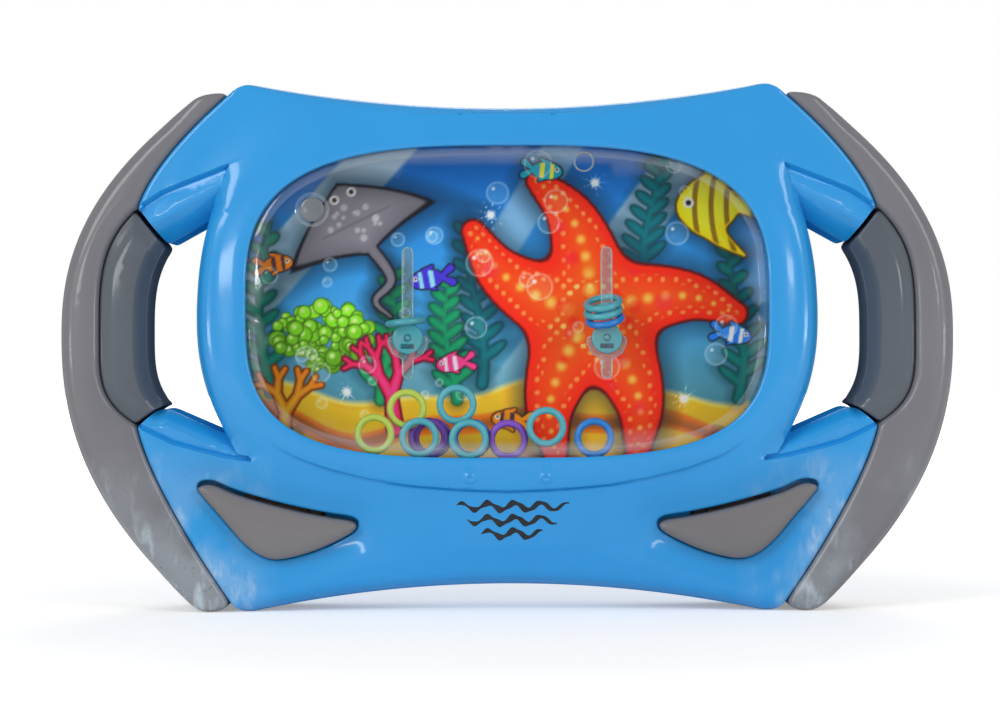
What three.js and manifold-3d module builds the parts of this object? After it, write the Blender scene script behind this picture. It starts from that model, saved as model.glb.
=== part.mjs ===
// A handheld water game: two blue case halves round a clear water tank, grey handles with finger gaps,
// two sprung pump buttons, and fifteen loose rings with two pegs to land on.
// Millimetres. X runs to the right, Z up and Y into the toy, whose window faces -Y.
import * as THREE from 'three';
import { mergeVertices } from 'three/addons/utils/BufferGeometryUtils.js';
import Module from 'manifold-3d';

const wasm = await Module();
wasm.setup();

// Overall sizes
const bodyHeight = 128.1;
const overallWidth = 217.6;
const bodyDepth = 32;
const handleDepth = 26;

// Widths across one side, from the outside in
const bandWidth = 9.6;
const gripWidth = 11;
const fingerGap = 12.6;
const bezelWidth = 12.45;
const bezelHead = 7.9; // above the window
const bezelFoot = 8.1; // below it

// Case
const wall = 2;
const gap = 0.3;
const armDrop = 3.5; // how far the arms and the button panel lie below the bezel's lip
const armStep = 1.2; // depth of the step across each arm
const frontSkin = 2.7; // thickness of the front wall on the arms and the button panel
const lipThickness = 1.3; // case wall over the tank's edge
const topSag = 6.1; // the top edge dips in the middle
const lowSag = 6.3; // the bottom edge rises in the middle
const topFlank = 2.7; // width of the sloped top edge, in the middle
const lowFlank = 9.4; // width of the sloped bottom edge, in the middle
const sideFlank = 1.6; // width of the rounding elsewhere
const bezelEdge = 4.2; // soft outer edge of the bezel
const rearEdge = 3; // and of the bulge behind it
const flankDepth = 5.5; // how far back the rounding reaches
const bandEdge = 3.2; // rounding of the handles' bands
const gripEdge = 2.4; // rounding of the grips
const gripDrop = 1.5; // how far each grip lies below its band
const noseWidth = 7.8; // width of each handle's nose beside the case's corner
const overrun = 6; // how far cutting shapes pass the faces that they cut

// Window and tank
const windowTopEdge = 15.35; // from the top of the case down to the window
const windowLowEdge = 37.45; // from the foot of the case up to the window
const tankPlay = 1.2; // how far the water reaches behind the lip
const tankWall = 1.6;
const paneThickness = 1.4;
const paneRise = 0.8; // how far the clear pane stands into the window
const paneBevel = 2;
const waterDepth = 15.5;
const backThickness = 1.2;
const cardThickness = 0.6;

// Filler plug
const fillerRadius = 2.2;
const plugRadius = 2.9;
const collarRadius = 3.9;
const collarRise = 0.45;
const plugDome = 0.45;
const plugStem = 3.2;

// Pegs and rings
const pegSpread = 24.4; // from the middle to each peg
const bladeWidth = 2.9;
const bladeThickness = 1.6;
const bladeHeight = 32.5;
const plateWidth = 10.1;
const plateHeight = 5.5;
const discRadius = 3.8;
const plateDrop = 1.1; // from the disc's foot down to the plate's
const discThickness = 1;
const ringRadius = 4.05; // to the middle of the ring's section
const ringSection = 0.85;
const ringPitch = 2.05; // spacing of the layers that the fallen rings lie in
const ringClearance = 0.4;

// Buttons and pumps
const buttonWidth = 38.4;
const buttonHeight = 17.9;
const buttonMargin = 4.8; // from each button's outer end to the case's side
const buttonRise = 2.3;
const buttonEdge = 1;
const buttonSlot = 0.6;
const flangeReach = 1.6;
const flangeThickness = 1.2;
const buttonTravel = 3.5;
const bellowsRadius = 7.5;
const bellowsWall = 0.9;
const bellowsClearance = 0.85; // from the resting button's flange to its dome
const bellowsFlange = 1.7;
const retainerThickness = 0.8;
const ductRadius = 3;
const nozzleRadius = 1.9;
const nozzleBore = 0.9;
const nozzleRise = 2;

// Screws
const bossRadius = 4.2;
const frontBossRadius = 3.4;
const headRadius = 2.4;
const headHeight = 1.8;
const shankRadius = 1.05;
const screwLength = 12;
const tongueThickness = 4;
const tongueMargin = 2;
const postRadius = 2.5;

// Worked out from the sizes above
const halfWidth = overallWidth / 2;
const bandInner = halfWidth - bandWidth;
const gripInner = bandInner - gripWidth;
const bezelReach = gripInner - fingerGap;
const windowReach = bezelReach - bezelWidth;
const windowHalfHeight = (bodyHeight - windowTopEdge - windowLowEdge) / 2;
const windowCentre = windowLowEdge + windowHalfHeight;
const lipFront = -bodyDepth / 2;
const panelFront = lipFront + armDrop;
const panelInside = panelFront + frontSkin;
const trayFront = lipFront + lipThickness + gap;
const waterFront = trayFront + paneThickness;
const waterBack = waterFront + waterDepth;
const cardFront = waterBack + backThickness + 2 * gap;
const cardBack = cardFront + cardThickness;
const rearInside = bodyDepth / 2 - wall;
const panelRear = bodyDepth / 2 - armDrop;
const panelRearInside = panelRear - frontSkin;
const splitFace = gap / 2;
const bezelRoot = 2 * armDrop;
const bellowsHeight = buttonTravel + flangeThickness;
const wallShare = wall / bodyHeight;
const gripEndShare = 0.006; // clearance at both ends of the grips

// Side curves: the height of the widest point and of both ends, as shares of the body's height, and how round
const outerShares = { peak: 0.523, high: 0.979, low: 0.012, highPower: 2.35, lowPower: 2.3 };
const highSeamShares = { peak: 0.742, high: 0.984, low: 0.742, highPower: 1.56, lowPower: 1 };
const lowSeamShares = { peak: 0.367, high: 0.367, low: 0.012, highPower: 1, lowPower: 1.37 };
const bandShares = { peak: 0.515, high: 0.767, low: 0.351, highPower: 3.8, lowPower: 3.8 };
const gripShares = { peak: 0.523, high: 0.699, low: 0.385, highPower: 3.3, lowPower: 3.3 };
const bezelShares = { peak: 0.556, high: 0.859, low: 0.299, highPower: 2.24, lowPower: 2.24 };
// How square the window and how flat the bezel's ends are
const windowPowers = { high: 3.05, low: 3.5 };
const bezelPowers = { high: 4, low: 1.9 };
// How far each curve has drawn in at its high and low ends, as shares of half the width
const bandDrawShares = [0.088, 0.092];
const gripDrawShares = [0.048, 0.048];
const bezelDrawShares = [0.0846, 0.095];
const seamDrawShare = 0.083; // from the bands' inner side in to the case's widest point
const cornerShare = 0.615; // end of that seam at the corners
const edgeShare = 0.57; // of half the width, where the top and bottom edges' curves end
const landShares = [0.572, 0.598]; // the flat foot of the case
const openingShares = { inner: [0.745, 0.335], outer: [0.699, 0.385] }; // heights of the finger gap's corners
const armEndShares = { draw: 0.026, height: 0.383 }; // in from the grips' inner side, and up
const stepShares = [
  [0.6, 0.85], [0.657, 0.832], [0.727, 0.81], [0.767, 0.796], [0.81, 0.772], [0.85, 0.7], [0.7, 0.62],
  [0.6, 0.72],
];
const lowStepShares = [
  [0.56, 0.4], [0.56, 0.287], [0.63, 0.296], [0.688, 0.308], [0.747, 0.322], [0.82, 0.352], [0.87, 0.42],
];

// Rounded edges: [depth, width] of each level, from the face down, as shares of the edge
const flankShares = [[0, 1], [0.3, 0.5], [1, 0]];
const bezelEdgeShares = [[0, 1], [0.2, 0.5], [0.6, 0.16]];
const slabEdgeShares = [[0, 1], [0.35, 0.35], [1.3, 0]];
const buttonEdgeShares = [[0, 0.9], [0.4, 0.35], [1.2, 0]];
const slabEndShare = 0.25; // of a slab's edge that is left at its narrow ends
const slabGrowthShare = 3; // how fast that edge grows from there
const mitreShare = 0.5; // least cosine between a corner's bisector and its sides

// How finely curves are drawn
const points = {
  edge: 6, seam: 6, opening: 8, bezelEdge: 7, bezelSide: 12, outer: 15, band: 13, grip: 9, blade: 5,
  window: 44,
};
const facets = { screw: 8, pin: 10, pump: 14, disc: 16, ring: 16, ringSection: 6 };

function sideCurve(shares, reach, highEnd, lowEnd) {
  // Half-width at a height: it draws in from its widest point by a power of the distance up or down
  return { ...shares, at(height) {
    const middle = shares.peak * bodyHeight;
    const up = height > middle;
    const end = (up ? shares.high : shares.low) * bodyHeight;
    const drawn = reach - (up ? highEnd : lowEnd);
    const power = up ? shares.highPower : shares.lowPower;
    return reach - drawn * Math.abs((height - middle) / (end - middle || 1)) ** power;
  } };
}

function heights(shares) {
  return shares.map((share) => share * bodyHeight);
}

const cornerReach = cornerShare * halfWidth;
const seamReach = bandInner - seamDrawShare * halfWidth;
const armEndReach = gripInner - armEndShares.draw * halfWidth;
const outerCurve = sideCurve(outerShares, halfWidth, cornerReach + noseWidth, cornerReach + noseWidth + wall);
const highSeam = sideCurve(highSeamShares, seamReach, cornerReach, seamReach);
const lowSeam = sideCurve(lowSeamShares, seamReach, seamReach, cornerReach);
const drawnIn = (reach, drawShares) => drawShares.map((share) => reach - share * halfWidth);
const bandCurve = sideCurve(bandShares, bandInner, ...drawnIn(bandInner, bandDrawShares));
const gripCurve = sideCurve(gripShares, gripInner, ...drawnIn(gripInner, gripDrawShares));
const bezelCurve = sideCurve(bezelShares, bezelReach, ...drawnIn(bezelReach, bezelDrawShares));

function steps(count) {
  return Array.from({ length: count }, (_, i) => i / (count - 1));
}

function along(curve, fromShare, toShare, count, shift = 0) {
  // Points up or down a side curve between two heights
  return steps(count).map((t) => {
    const height = (fromShare + (toShare - fromShare) * t) * bodyHeight;
    return [curve.at(height) + shift, height];
  });
}

function mirrored(half) {
  // A right half, from the bottom centre to the top centre, with its left half
  const left = half.slice(1, -1).reverse().map(([x, z]) => [-x, z]);
  return [...half, ...left];
}

function inset(outline, amount) {
  // Each point moves in along its corner's bisector; amount is a length or a function of the point
  return outline.map(([x, z], i) => {
    const [px, pz] = outline[(i + outline.length - 1) % outline.length];
    const [nx, nz] = outline[(i + 1) % outline.length];
    const before = new THREE.Vector2(pz - z, x - px).normalize();
    const after = new THREE.Vector2(z - nz, nx - x).normalize();
    const bisector = before.clone().add(after).normalize();
    const depth = typeof amount === 'function' ? amount(x, z) : amount;
    const reach = depth / Math.max(bisector.dot(after), mitreShare);
    return [x + bisector.x * reach, z + bisector.y * reach];
  });
}

function closed(geometry) {
  // The same surface with shared corners merged, empty faces dropped and every face pointing out
  const bare = geometry.clone();
  const others = Object.keys(bare.attributes).filter((name) => name !== 'position');
  others.forEach((name) => bare.deleteAttribute(name));
  const merged = mergeVertices(bare);
  const place = (i) => new THREE.Vector3().fromBufferAttribute(merged.attributes.position, i);
  const index = Array.from(merged.index.array);
  const faces = [];
  let volume = 0;
  for (let i = 0; i < index.length; i += 3) {
    const face = index.slice(i, i + 3);
    if (new Set(face).size === 3) {
      faces.push(face);
      volume += place(face[0]).dot(place(face[1]).cross(place(face[2])));
    }
  }
  if (volume < 0) faces.forEach((face) => face.reverse());
  merged.setIndex(faces.flat());
  merged.computeVertexNormals();
  return merged;
}

function solid(geometry) {
  const shell = closed(geometry);
  const triVerts = Uint32Array.from(shell.index.array);
  const vertProperties = shell.attributes.position.array;
  return new wasm.Manifold(new wasm.Mesh({ numProp: 3, vertProperties, triVerts }));
}

function surface(body) {
  const mesh = body.getMesh();
  const geometry = new THREE.BufferGeometry();
  geometry.setAttribute('position', new THREE.BufferAttribute(mesh.vertProperties, 3));
  geometry.setIndex(new THREE.BufferAttribute(mesh.triVerts, 1));
  geometry.computeVertexNormals();
  return geometry;
}

function stack(levels) {
  // A solid through outlines of equal point counts, from the front one to the rear one: [depth, outline]
  const positions = [];
  const faces = [];
  const count = levels[0][1].length;
  const flat = (outline) => outline.map(([x, z]) => new THREE.Vector2(x, z));
  const turnedOver = THREE.ShapeUtils.isClockWise(flat(levels[0][1]));
  const ordered = levels.map(([y, outline]) => [y, turnedOver ? [...outline].reverse() : outline]);
  ordered.forEach(([y, outline]) => outline.forEach(([x, z]) => positions.push(x, y, z)));
  const last = levels.length - 1;
  for (let level = 0; level < last; level += 1) {
    for (let i = 0; i < count; i += 1) {
      const a = level * count + i;
      const b = level * count + (i + 1) % count;
      faces.push(a, a + count, b, b, a + count, b + count);
    }
  }
  const cap = (level) => THREE.ShapeUtils.triangulateShape(flat(ordered[level][1]), []);
  cap(0).forEach(([a, b, c]) => faces.push(a, b, c));
  cap(last).forEach(([a, b, c]) => faces.push(c + last * count, b + last * count, a + last * count));
  const geometry = new THREE.BufferGeometry();
  geometry.setAttribute('position', new THREE.Float32BufferAttribute(positions, 3));
  geometry.setIndex(faces);
  return geometry;
}

function rod(x, z, radius, front, rear, count = facets.pin) {
  return new THREE.CylinderGeometry(radius, radius, rear - front, count).translate(x, (front + rear) / 2, z);
}

function pillar(x, y, radius, low, high, count = facets.pin) {
  const geometry = new THREE.CylinderGeometry(radius, radius, high - low, count);
  return geometry.rotateX(Math.PI / 2).translate(x, y, (low + high) / 2);
}

function block(left, right, front, rear, low, high) {
  const geometry = new THREE.BoxGeometry(right - left, rear - front, high - low);
  return geometry.translate((left + right) / 2, (front + rear) / 2, (low + high) / 2);
}

function turned(profile, x, z, count = facets.pump) {
  // A round piece about a line along Y: profile holds [radius, depth] pairs
  const half = profile.map(([radius, depth]) => new THREE.Vector2(radius, depth));
  return new THREE.LatheGeometry(half, count).translate(x, 0, z);
}

function joined(first, ...others) {
  return others.reduce((whole, geometry) => whole.add(solid(geometry)), first);
}

function cutBy(first, ...others) {
  return others.reduce((whole, geometry) => whole.subtract(solid(geometry)), first);
}

const object = new THREE.Group();
object.name = 'handheld_water_game';

function finish(color, roughness, metalness = 0, others = {}) {
  return new THREE.MeshStandardMaterial({ color, roughness, metalness, ...others });
}

const finishes = {
  blue: finish(0x40a3e6, 0.25),
  grey: finish(0x7d7e82, 0.35),
  slate: finish(0x646a72, 0.3),
  button: finish(0x878280, 0.35),
  clear: finish(0xdfeef2, 0.08, 0, { transparent: true, opacity: 0.3 }),
  card: finish(0x2f7fb5, 0.6),
  teal: finish(0x4ba5af, 0.3),
  lime: finish(0xafc34b, 0.3),
  purple: finish(0x7d4bb9, 0.3),
  royal: finish(0x1e7dcd, 0.3),
  rubber: finish(0xb9b4aa, 0.8),
  steel: finish(0xb0b2b4, 0.35, 1),
};

function place(name, geometry, finishName) {
  const mesh = new THREE.Mesh(closed(geometry), finishes[finishName]);
  mesh.name = name;
  object.add(mesh);
  return mesh;
}

// Outlines, seen from the front and running counter-clockwise

function edgeRise(x, sag) {
  return sag * Math.max(0, 1 - (x / (edgeShare * halfWidth)) ** 2);
}

function bodyOutline(hollow) {
  // The hollow's outline leaves out the short edge at the end of each lower arm
  const edge = edgeShare * halfWidth;
  const [highEnd, lowEnd] = heights(openingShares.outer).map((height) => [gripCurve.at(height), height]);
  const low = steps(points.edge).map((t) => [t * edge, edgeRise(t * edge, lowSag)]);
  const high = steps(points.edge).map((t) => [t * edge, bodyHeight - edgeRise(t * edge, topSag)]).reverse();
  const half = [
    ...low.slice(0, -1),
    ...landShares.map((share) => [share * halfWidth, 0]),
    ...along(lowSeam, lowSeamShares.low, bandShares.low, points.seam),
    [armEndReach, armEndShares.height * bodyHeight],
    ...(hollow ? [] : [lowEnd]),
    ...along(bezelCurve, openingShares.inner[1], openingShares.inner[0], points.opening),
    highEnd,
    ...along(highSeam, bandShares.high, highSeamShares.high, points.seam),
    [(edgeShare + cornerShare) / 2 * halfWidth, bodyHeight - gap],
    ...high,
  ];
  return mirrored(half);
}

function flank(x, z) {
  // Width of the sloped edge at a point of the outline: widest in the middle of the top and bottom edges
  const middle = bodyHeight / 2;
  const sag = z > middle ? topSag : lowSag;
  const width = z > middle ? topFlank : lowFlank;
  const onEdge = Math.abs(z - middle) > middle - sag - gap;
  const share = onEdge ? edgeRise(Math.abs(x), 1) : 0;
  return sideFlank + (width - sideFlank) * share;
}

function bezelOutline() {
  const lowHeight = windowLowEdge - bezelFoot;
  const highHeight = bodyHeight - windowTopEdge + bezelHead;
  const side = along(bezelCurve, bezelShares.low, bezelShares.high, points.bezelSide);
  // From the middle of the case to the side's end, rising or falling by a power of the way across
  const toEnd = (middle, [endX, endZ], power) => steps(points.bezelEdge).map((t) => [
    t * endX, middle + (endZ - middle) * t ** power]);
  const low = toEnd(lowHeight, side[0], bezelPowers.low);
  const high = toEnd(highHeight, side[side.length - 1], bezelPowers.high).reverse();
  return mirrored([...low.slice(0, -1), ...side, ...high.slice(1)]);
}

function windowOutline(grow) {
  // A rounded rectangle by powers: squarer below than above
  return steps(points.window + 1).slice(0, -1).map((t) => {
    const angle = t * 2 * Math.PI - Math.PI / 2;
    const power = Math.sin(angle) > 0 ? windowPowers.high : windowPowers.low;
    const round = (value) => Math.sign(value) * Math.abs(value) ** (2 / power);
    return [
      round(Math.cos(angle)) * (windowReach + grow),
      windowCentre + round(Math.sin(angle)) * (windowHalfHeight + grow),
    ];
  });
}

function floorAt(x, grow) {
  // Height of the lower edge of that outline at a place across it
  const share = Math.min(1, Math.abs(x) / (windowReach + grow));
  const drop = (1 - share ** windowPowers.low) ** (1 / windowPowers.low);
  return windowCentre - (windowHalfHeight + grow) * drop;
}

const scaled = (shares) => shares.map(([x, z]) => [x * halfWidth, z * bodyHeight]);
const flipped = (outline) => outline.map(([x, z]) => [-x, z]).reverse();
const sides = [['left', -1], ['right', 1]];

// Case screws: four pin the handles' tongues, four close the middle
const handleScrewShares = [[0.72, 0.816], [0.74, 0.281]];
const middleScrewShares = [[0.478, 0.913], [0.165, 0.14]];
const screwPlaces = sides.flatMap(([side, sign]) => scaled([...handleScrewShares, ...middleScrewShares])
  .map(([x, z], i) => ({
    name: `case_screw_${side}_${i + 1}`,
    x: sign * x,
    z,
    pinsHandle: i < handleScrewShares.length,
  })));
const screwSeat = screwLength / 2;
const pilotRadius = shankRadius + gap;

function tongue(x, z, grow) {
  const half = bossRadius + gap + tongueMargin + grow;
  const inner = Math.abs(x) - half;
  const left = x > 0 ? inner : -halfWidth;
  const right = x > 0 ? halfWidth : -inner;
  return block(left, right, -tongueThickness / 2 - grow, tongueThickness / 2 + grow, z - half, z + half);
}

const tonguePlaces = screwPlaces.filter((screw) => screw.pinsHandle);

// Buttons: a pointed drop shape, as shares of its width and height about its middle
const buttonShares = [
  [0.5, 0.466], [0.414, 0.5], [0.268, 0.372], [0.068, 0.243], [-0.13, 0.137], [-0.326, 0.053],
  [-0.466, 0.003], [-0.5, -0.075], [-0.424, -0.204], [-0.227, -0.394], [-0.029, -0.5], [0.089, -0.466],
  [0.208, -0.288],
  [0.346, 0.053], [0.466, 0.349],
];
const buttonHeightShare = 0.171; // of the body, up to the middle of the buttons
const buttonZ = buttonHeightShare * bodyHeight;
const buttonX = lowSeam.at(buttonZ) - buttonMargin - buttonWidth / 2;
const pumpX = buttonX + gap;
const flangeFront = panelInside + gap;
const bellowsFront = flangeFront + flangeThickness + bellowsClearance;

function buttonOutline(sign, amount) {
  const right = buttonShares.map(([x, z]) => [buttonX + x * buttonWidth, buttonZ + z * buttonHeight]);
  const drawn = inset(right, amount);
  return sign > 0 ? drawn : flipped(drawn);
}

// Case halves

function panel(front, rear, direction, amount) {
  // The case's outline with rounded front or rear edges, its flat side on the split
  const outline = bodyOutline(amount > 0);
  const levels = [
    ...flankShares.map(([down, across]) => [
      front + direction * flankDepth * down, inset(outline, (x, z) => amount + flank(x, z) * across)]),
    [rear, inset(outline, amount)],
  ];
  return stack(direction > 0 ? levels : levels.reverse());
}

function bezel(face, direction, edge, depth, amount = 0) {
  // The raised oval round the window, with a soft outer edge
  const outline = bezelOutline();
  const levels = [
    ...bezelEdgeShares.map(([down, across]) => [
      face + direction * edge * down, inset(outline, amount + edge * across)]),
    [face + direction * depth, inset(outline, amount)],
  ];
  return stack(direction > 0 ? levels : levels.reverse());
}

function frontShell() {
  const steppedPanel = cutBy(
    solid(panel(panelFront, -splitFace, 1, 0)),
    ...[stepShares, lowStepShares].flatMap((shares) => {
      const step = scaled(shares);
      const levels = (outline) => [[panelFront - overrun, outline], [panelFront + armStep, outline]];
      return [stack(levels(flipped(step))), stack(levels(step))];
    }),
  );
  const outer = joined(steppedPanel, bezel(lipFront, 1, bezelEdge, bezelRoot));
  const pocket = windowOutline(tankPlay + tankWall + gap);
  const hollow = cutBy(
    outer,
    panel(panelInside, overrun, 1, wall),
    stack([[lipFront + lipThickness, pocket], [overrun, pocket]]),
    stack([[lipFront - overrun, windowOutline(0)], [0, windowOutline(0)]]),
    ...tonguePlaces.map(({ x, z }) => tongue(x, z, gap)),
  );
  const bosses = screwPlaces.map(({ x, z }) => outer.intersect(
    solid(rod(x, z, frontBossRadius, lipFront, -splitFace))));
  const bossed = bosses.reduce((whole, boss) => whole.add(boss), hollow);
  return cutBy(
    bossed,
    ...screwPlaces.map(({ x, z }) => rod(
      x, z, pilotRadius, screwSeat - screwLength - gap, overrun, facets.screw)),
    ...sides.map(([, sign]) => {
      const slot = buttonOutline(sign, -buttonSlot);
      return stack([[lipFront - overrun, slot], [panelInside + overrun / 2, slot]]);
    }),
  );
}

const postShares = [[0.4, 0.75], [0.4, 0.43]]; // posts that press on the card

function rearShell() {
  const outer = joined(
    solid(panel(panelRear, splitFace, -1, 0)),
    bezel(bodyDepth / 2, -1, rearEdge, bezelRoot),
  );
  const hollow = cutBy(
    outer,
    panel(panelRearInside, -overrun, -1, wall),
    bezel(rearInside, -1, rearEdge, bodyDepth / 2, wall + gap),
    ...tonguePlaces.map(({ x, z }) => tongue(x, z, gap)),
  );
  const bosses = screwPlaces.map(({ x, z }) => outer.intersect(
    solid(rod(x, z, bossRadius, splitFace, bodyDepth))));
  const posts = sides.flatMap(([, sign]) => scaled(postShares).map(([x, z]) => outer.intersect(
    solid(rod(sign * x, z, postRadius, cardBack + gap, bodyDepth)))));
  const whole = [...bosses, ...posts].reduce((body, piece) => body.add(piece), hollow);
  return cutBy(
    whole,
    ...screwPlaces.map(({ x, z }) => rod(x, z, pilotRadius, -overrun, bodyDepth, facets.screw)),
    ...screwPlaces.map(({ x, z }) => rod(x, z, headRadius + gap, screwSeat, bodyDepth)),
  );
}

// Handles: a curved band that is open towards the case, and a grip set into its inner side

// Lower nose: [across it, up to the foot of the outer curve]; upper nose: across it, to its tip
const lowNoseShares = [[0.2, 0.5], [0.45, 0], [1, 0]];
const highNoseShare = 0.5;

function bandOutline() {
  const foot = outerShares.low * bodyHeight;
  const lowNose = lowNoseShares.map(([across, up]) => [cornerReach + noseWidth * across, foot * up]);
  const outer = along(outerCurve, outerShares.low, outerShares.high, points.outer);
  const [outerHigh, seamHigh] = heights([outerShares.high, highSeamShares.high]);
  const highNose = [cornerReach + noseWidth * highNoseShare, (outerHigh + seamHigh) / 2 + gap];
  const innerHigh = along(highSeam, highSeamShares.high, bandShares.high, points.seam, gap);
  const inner = along(bandCurve, bandShares.high, bandShares.low, points.band).slice(1, -1);
  const innerLow = along(lowSeam, bandShares.low, lowSeamShares.low, points.seam, gap);
  return [...lowNose, ...outer, highNose, ...innerHigh, ...inner, ...innerLow];
}

function rounded(outline, half, edge) {
  // A slab of that outline with both of its faces' edges rounded, less so towards its narrow ends
  const zs = outline.map(([, z]) => z);
  const [low, high] = [Math.min(...zs), Math.max(...zs)];
  const fromEnd = (z) => Math.min(z - low, high - z) / (high - low);
  const ease = (z) => Math.min(1, slabEndShare + slabGrowthShare * fromEnd(z));
  const levels = slabEdgeShares.map(([down, across]) => [edge * down - half, edge * across]);
  const both = [...levels, ...levels.map(([y, drawn]) => [-y, drawn]).reverse()];
  return stack(both.map(([y, drawn]) => [y, inset(outline, (x, z) => drawn * ease(z))]));
}

function within(curve, shift, ends, far) {
  // All that lies between a side curve and a far line
  const near = along(curve, curve.low + ends, curve.high - ends, points.outer, shift);
  return [[far, near[0][1]], ...near, [far, near[near.length - 1][1]]];
}

function handle(sign) {
  const half = handleDepth / 2;
  const body = solid(rounded(bandOutline(), half, bandEdge));
  const hollow = within(outerCurve, -wall, wallShare, 0);
  const channel = cutBy(body, stack([[-half + wall, hollow], [half - wall, hollow]]));
  const reach = within(outerCurve, -gap, 0, 0);
  const inside = solid(stack([[-half, reach], [half, reach]]));
  const tongues = tonguePlaces.filter(({ x }) => x > 0).map(({ x, z }) => cutBy(
    solid(tongue(x, z, 0)).intersect(inside),
    rod(x, z, bossRadius + gap, -half, half),
    block(0, halfWidth, -half, half, bandShares.low * bodyHeight, bandShares.high * bodyHeight),
  ));
  const whole = tongues.reduce((piece, tab) => piece.add(tab), channel);
  return sign > 0 ? whole : whole.mirror([1, 0, 0]);
}

function gripOutline() {
  const between = (curve) => [curve.low + gripEndShare, curve.high - gripEndShare];
  const outer = along(bandCurve, ...between(bandShares), points.band, -gap);
  const inner = along(gripCurve, ...between(gripShares).reverse(), points.grip);
  return [...outer, ...inner, [armEndReach, (armEndShares.height + gripEndShare) * bodyHeight]];
}

function grip(sign) {
  const half = handleDepth / 2 - gripDrop;
  const body = solid(rounded(gripOutline(), half, gripEdge));
  const hollow = within(gripCurve, wall, wallShare, overallWidth);
  const whole = cutBy(body, stack([[-half + wall, hollow], [half - wall, hollow]]));
  return sign > 0 ? whole : whole.mirror([1, 0, 0]);
}

place('front_shell', surface(frontShell()), 'blue');
place('rear_shell', surface(rearShell()), 'blue');
sides.forEach(([side, sign]) => {
  place(`${side}_handle`, surface(handle(sign)), 'grey');
  place(`${side}_grip`, surface(grip(sign)), 'slate');
});

// Tank: a clear tray that opens to the rear, its back plate, and the printed card behind it

const fillerPlaceShares = [-0.744, 0.592]; // of the window's reach, from its centre
const fillerX = fillerPlaceShares[0] * windowReach;
const fillerZ = windowCentre + fillerPlaceShares[1] * windowHalfHeight;
const paneFront = trayFront - paneRise;
const trayOutline = windowOutline(tankPlay + tankWall);
const paneLipShare = 0.2; // of the pane's rise, at the foot of its bevel
const nozzleShare = 0.5; // of the dome's radius, in from its middle
const nozzleX = buttonX - bellowsRadius * nozzleShare;
const nozzleY = waterBack - nozzleRadius - gap;

function tray() {
  const pane = windowOutline(-gap);
  const body = joined(
    solid(stack([[trayFront, trayOutline], [waterBack, trayOutline]])),
    stack([
      [paneFront, inset(pane, paneBevel)],
      [trayFront - paneRise * paneLipShare, pane],
      [trayFront + paneThickness / 2, pane],
    ]),
    rod(fillerX, fillerZ, collarRadius, paneFront - collarRise, waterFront, facets.disc),
  );
  const water = windowOutline(tankPlay);
  return cutBy(
    body,
    stack([[waterFront, water], [waterBack + overrun, water]]),
    rod(fillerX, fillerZ, fillerRadius + gap, lipFront - overrun, 0, facets.disc),
    rod(fillerX, fillerZ, plugRadius + gap, lipFront - overrun, paneFront, facets.disc),
    ...sides.map(([, sign]) => pillar(sign * nozzleX, nozzleY, nozzleRadius + gap, 0, windowCentre)),
  );
}

place('tank_front', surface(tray()), 'clear');
const backFront = waterBack + gap;
place('tank_back', stack([[backFront, trayOutline], [backFront + backThickness, trayOutline]]), 'clear');
place('backdrop_card', stack([[cardFront, trayOutline], [cardBack, trayOutline]]), 'card');

const plugFace = paneFront - gap;
const domeShares = [[1, 0], [0.93, 0.5], [0.6, 0.9], [0, 1]]; // of the plug's radius and its dome's height
place('filler_plug', turned([
  [0, plugFace + plugStem], [fillerRadius, plugFace + plugStem], [fillerRadius, plugFace],
  ...domeShares.map(([across, up]) => [plugRadius * across, plugFace - plugDome * up]),
], fillerX, fillerZ, facets.disc), 'grey');

// Pegs: an upright blade in mid-water with an octagonal plate, held to the back by a bracket

const pegY = (waterFront + waterBack) / 2;
const discCentreShare = 0.517;
const discZ = discCentreShare * bodyHeight;
const bladeTopShare = 0.578; // of the blade's height, above the disc
const plateShares = [[0.33, 0], [0.77, 0.22], [1, 0.75], [0.9, 1]]; // of the plate's half-width and height
const plateLow = discZ - discRadius - plateDrop;
const bladeTop = discZ + discRadius + bladeHeight * bladeTopShare;

function peg(sign) {
  const x = sign * pegSpread;
  const half = bladeWidth / 2;
  const bladeLow = bladeTop - bladeHeight;
  const round = steps(points.blade).map((t) => [Math.cos(t * Math.PI) * half, Math.sin(t * Math.PI) * half]);
  const blade = [
    ...round.map(([u, v]) => [x + u, bladeTop - half + v]),
    ...round.map(([u, v]) => [x - u, bladeLow + half - v]),
  ];
  const right = plateShares.map(([across, up]) => [across * plateWidth / 2, plateLow + plateHeight * up]);
  const plate = [...right, ...flipped(right)].map(([u, z]) => [x + u, z]);
  const front = pegY - bladeThickness / 2;
  const rear = pegY + bladeThickness / 2;
  return joined(
    solid(stack([[front, blade], [rear, blade]])),
    stack([[front, plate], [rear, plate]]),
    block(x - half, x + half, pegY, waterBack, plateLow + gap, plateLow + plateHeight - gap),
  );
}

sides.forEach(([side, sign]) => {
  place(`${side}_peg`, surface(peg(sign)), 'clear');
  const rear = pegY - bladeThickness / 2 - gap / 3;
  const disc = rod(sign * pegSpread, discZ, discRadius, rear - discThickness, rear, facets.disc);
  place(`${side}_peg_boss`, disc, 'teal');
});

// Rings. Fallen ones lie in layers: colour, layer from the front, then place across from the middle and up
// from the tank's floor, as shares of a ring's own reach
const ringReach = ringRadius + ringSection;
const fallenShares = [
  ['lime', 1, -6.59, 1.2], ['lime', 2, -5, 2.56], ['teal', 1, -4.37, 1.17], ['purple', 3, -3.97, 1.16],
  ['purple', 4, -3.76, 1.13], ['teal', 2, -2.53, 2.84], ['teal', 1, -1.92, 1.13], ['royal', 3, -1.8, 1.13],
  ['purple', 2, 0.03, 1.09], ['teal', 1, 1.92, 1.73], ['royal', 1, 4.29, 1.14],
];

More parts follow.
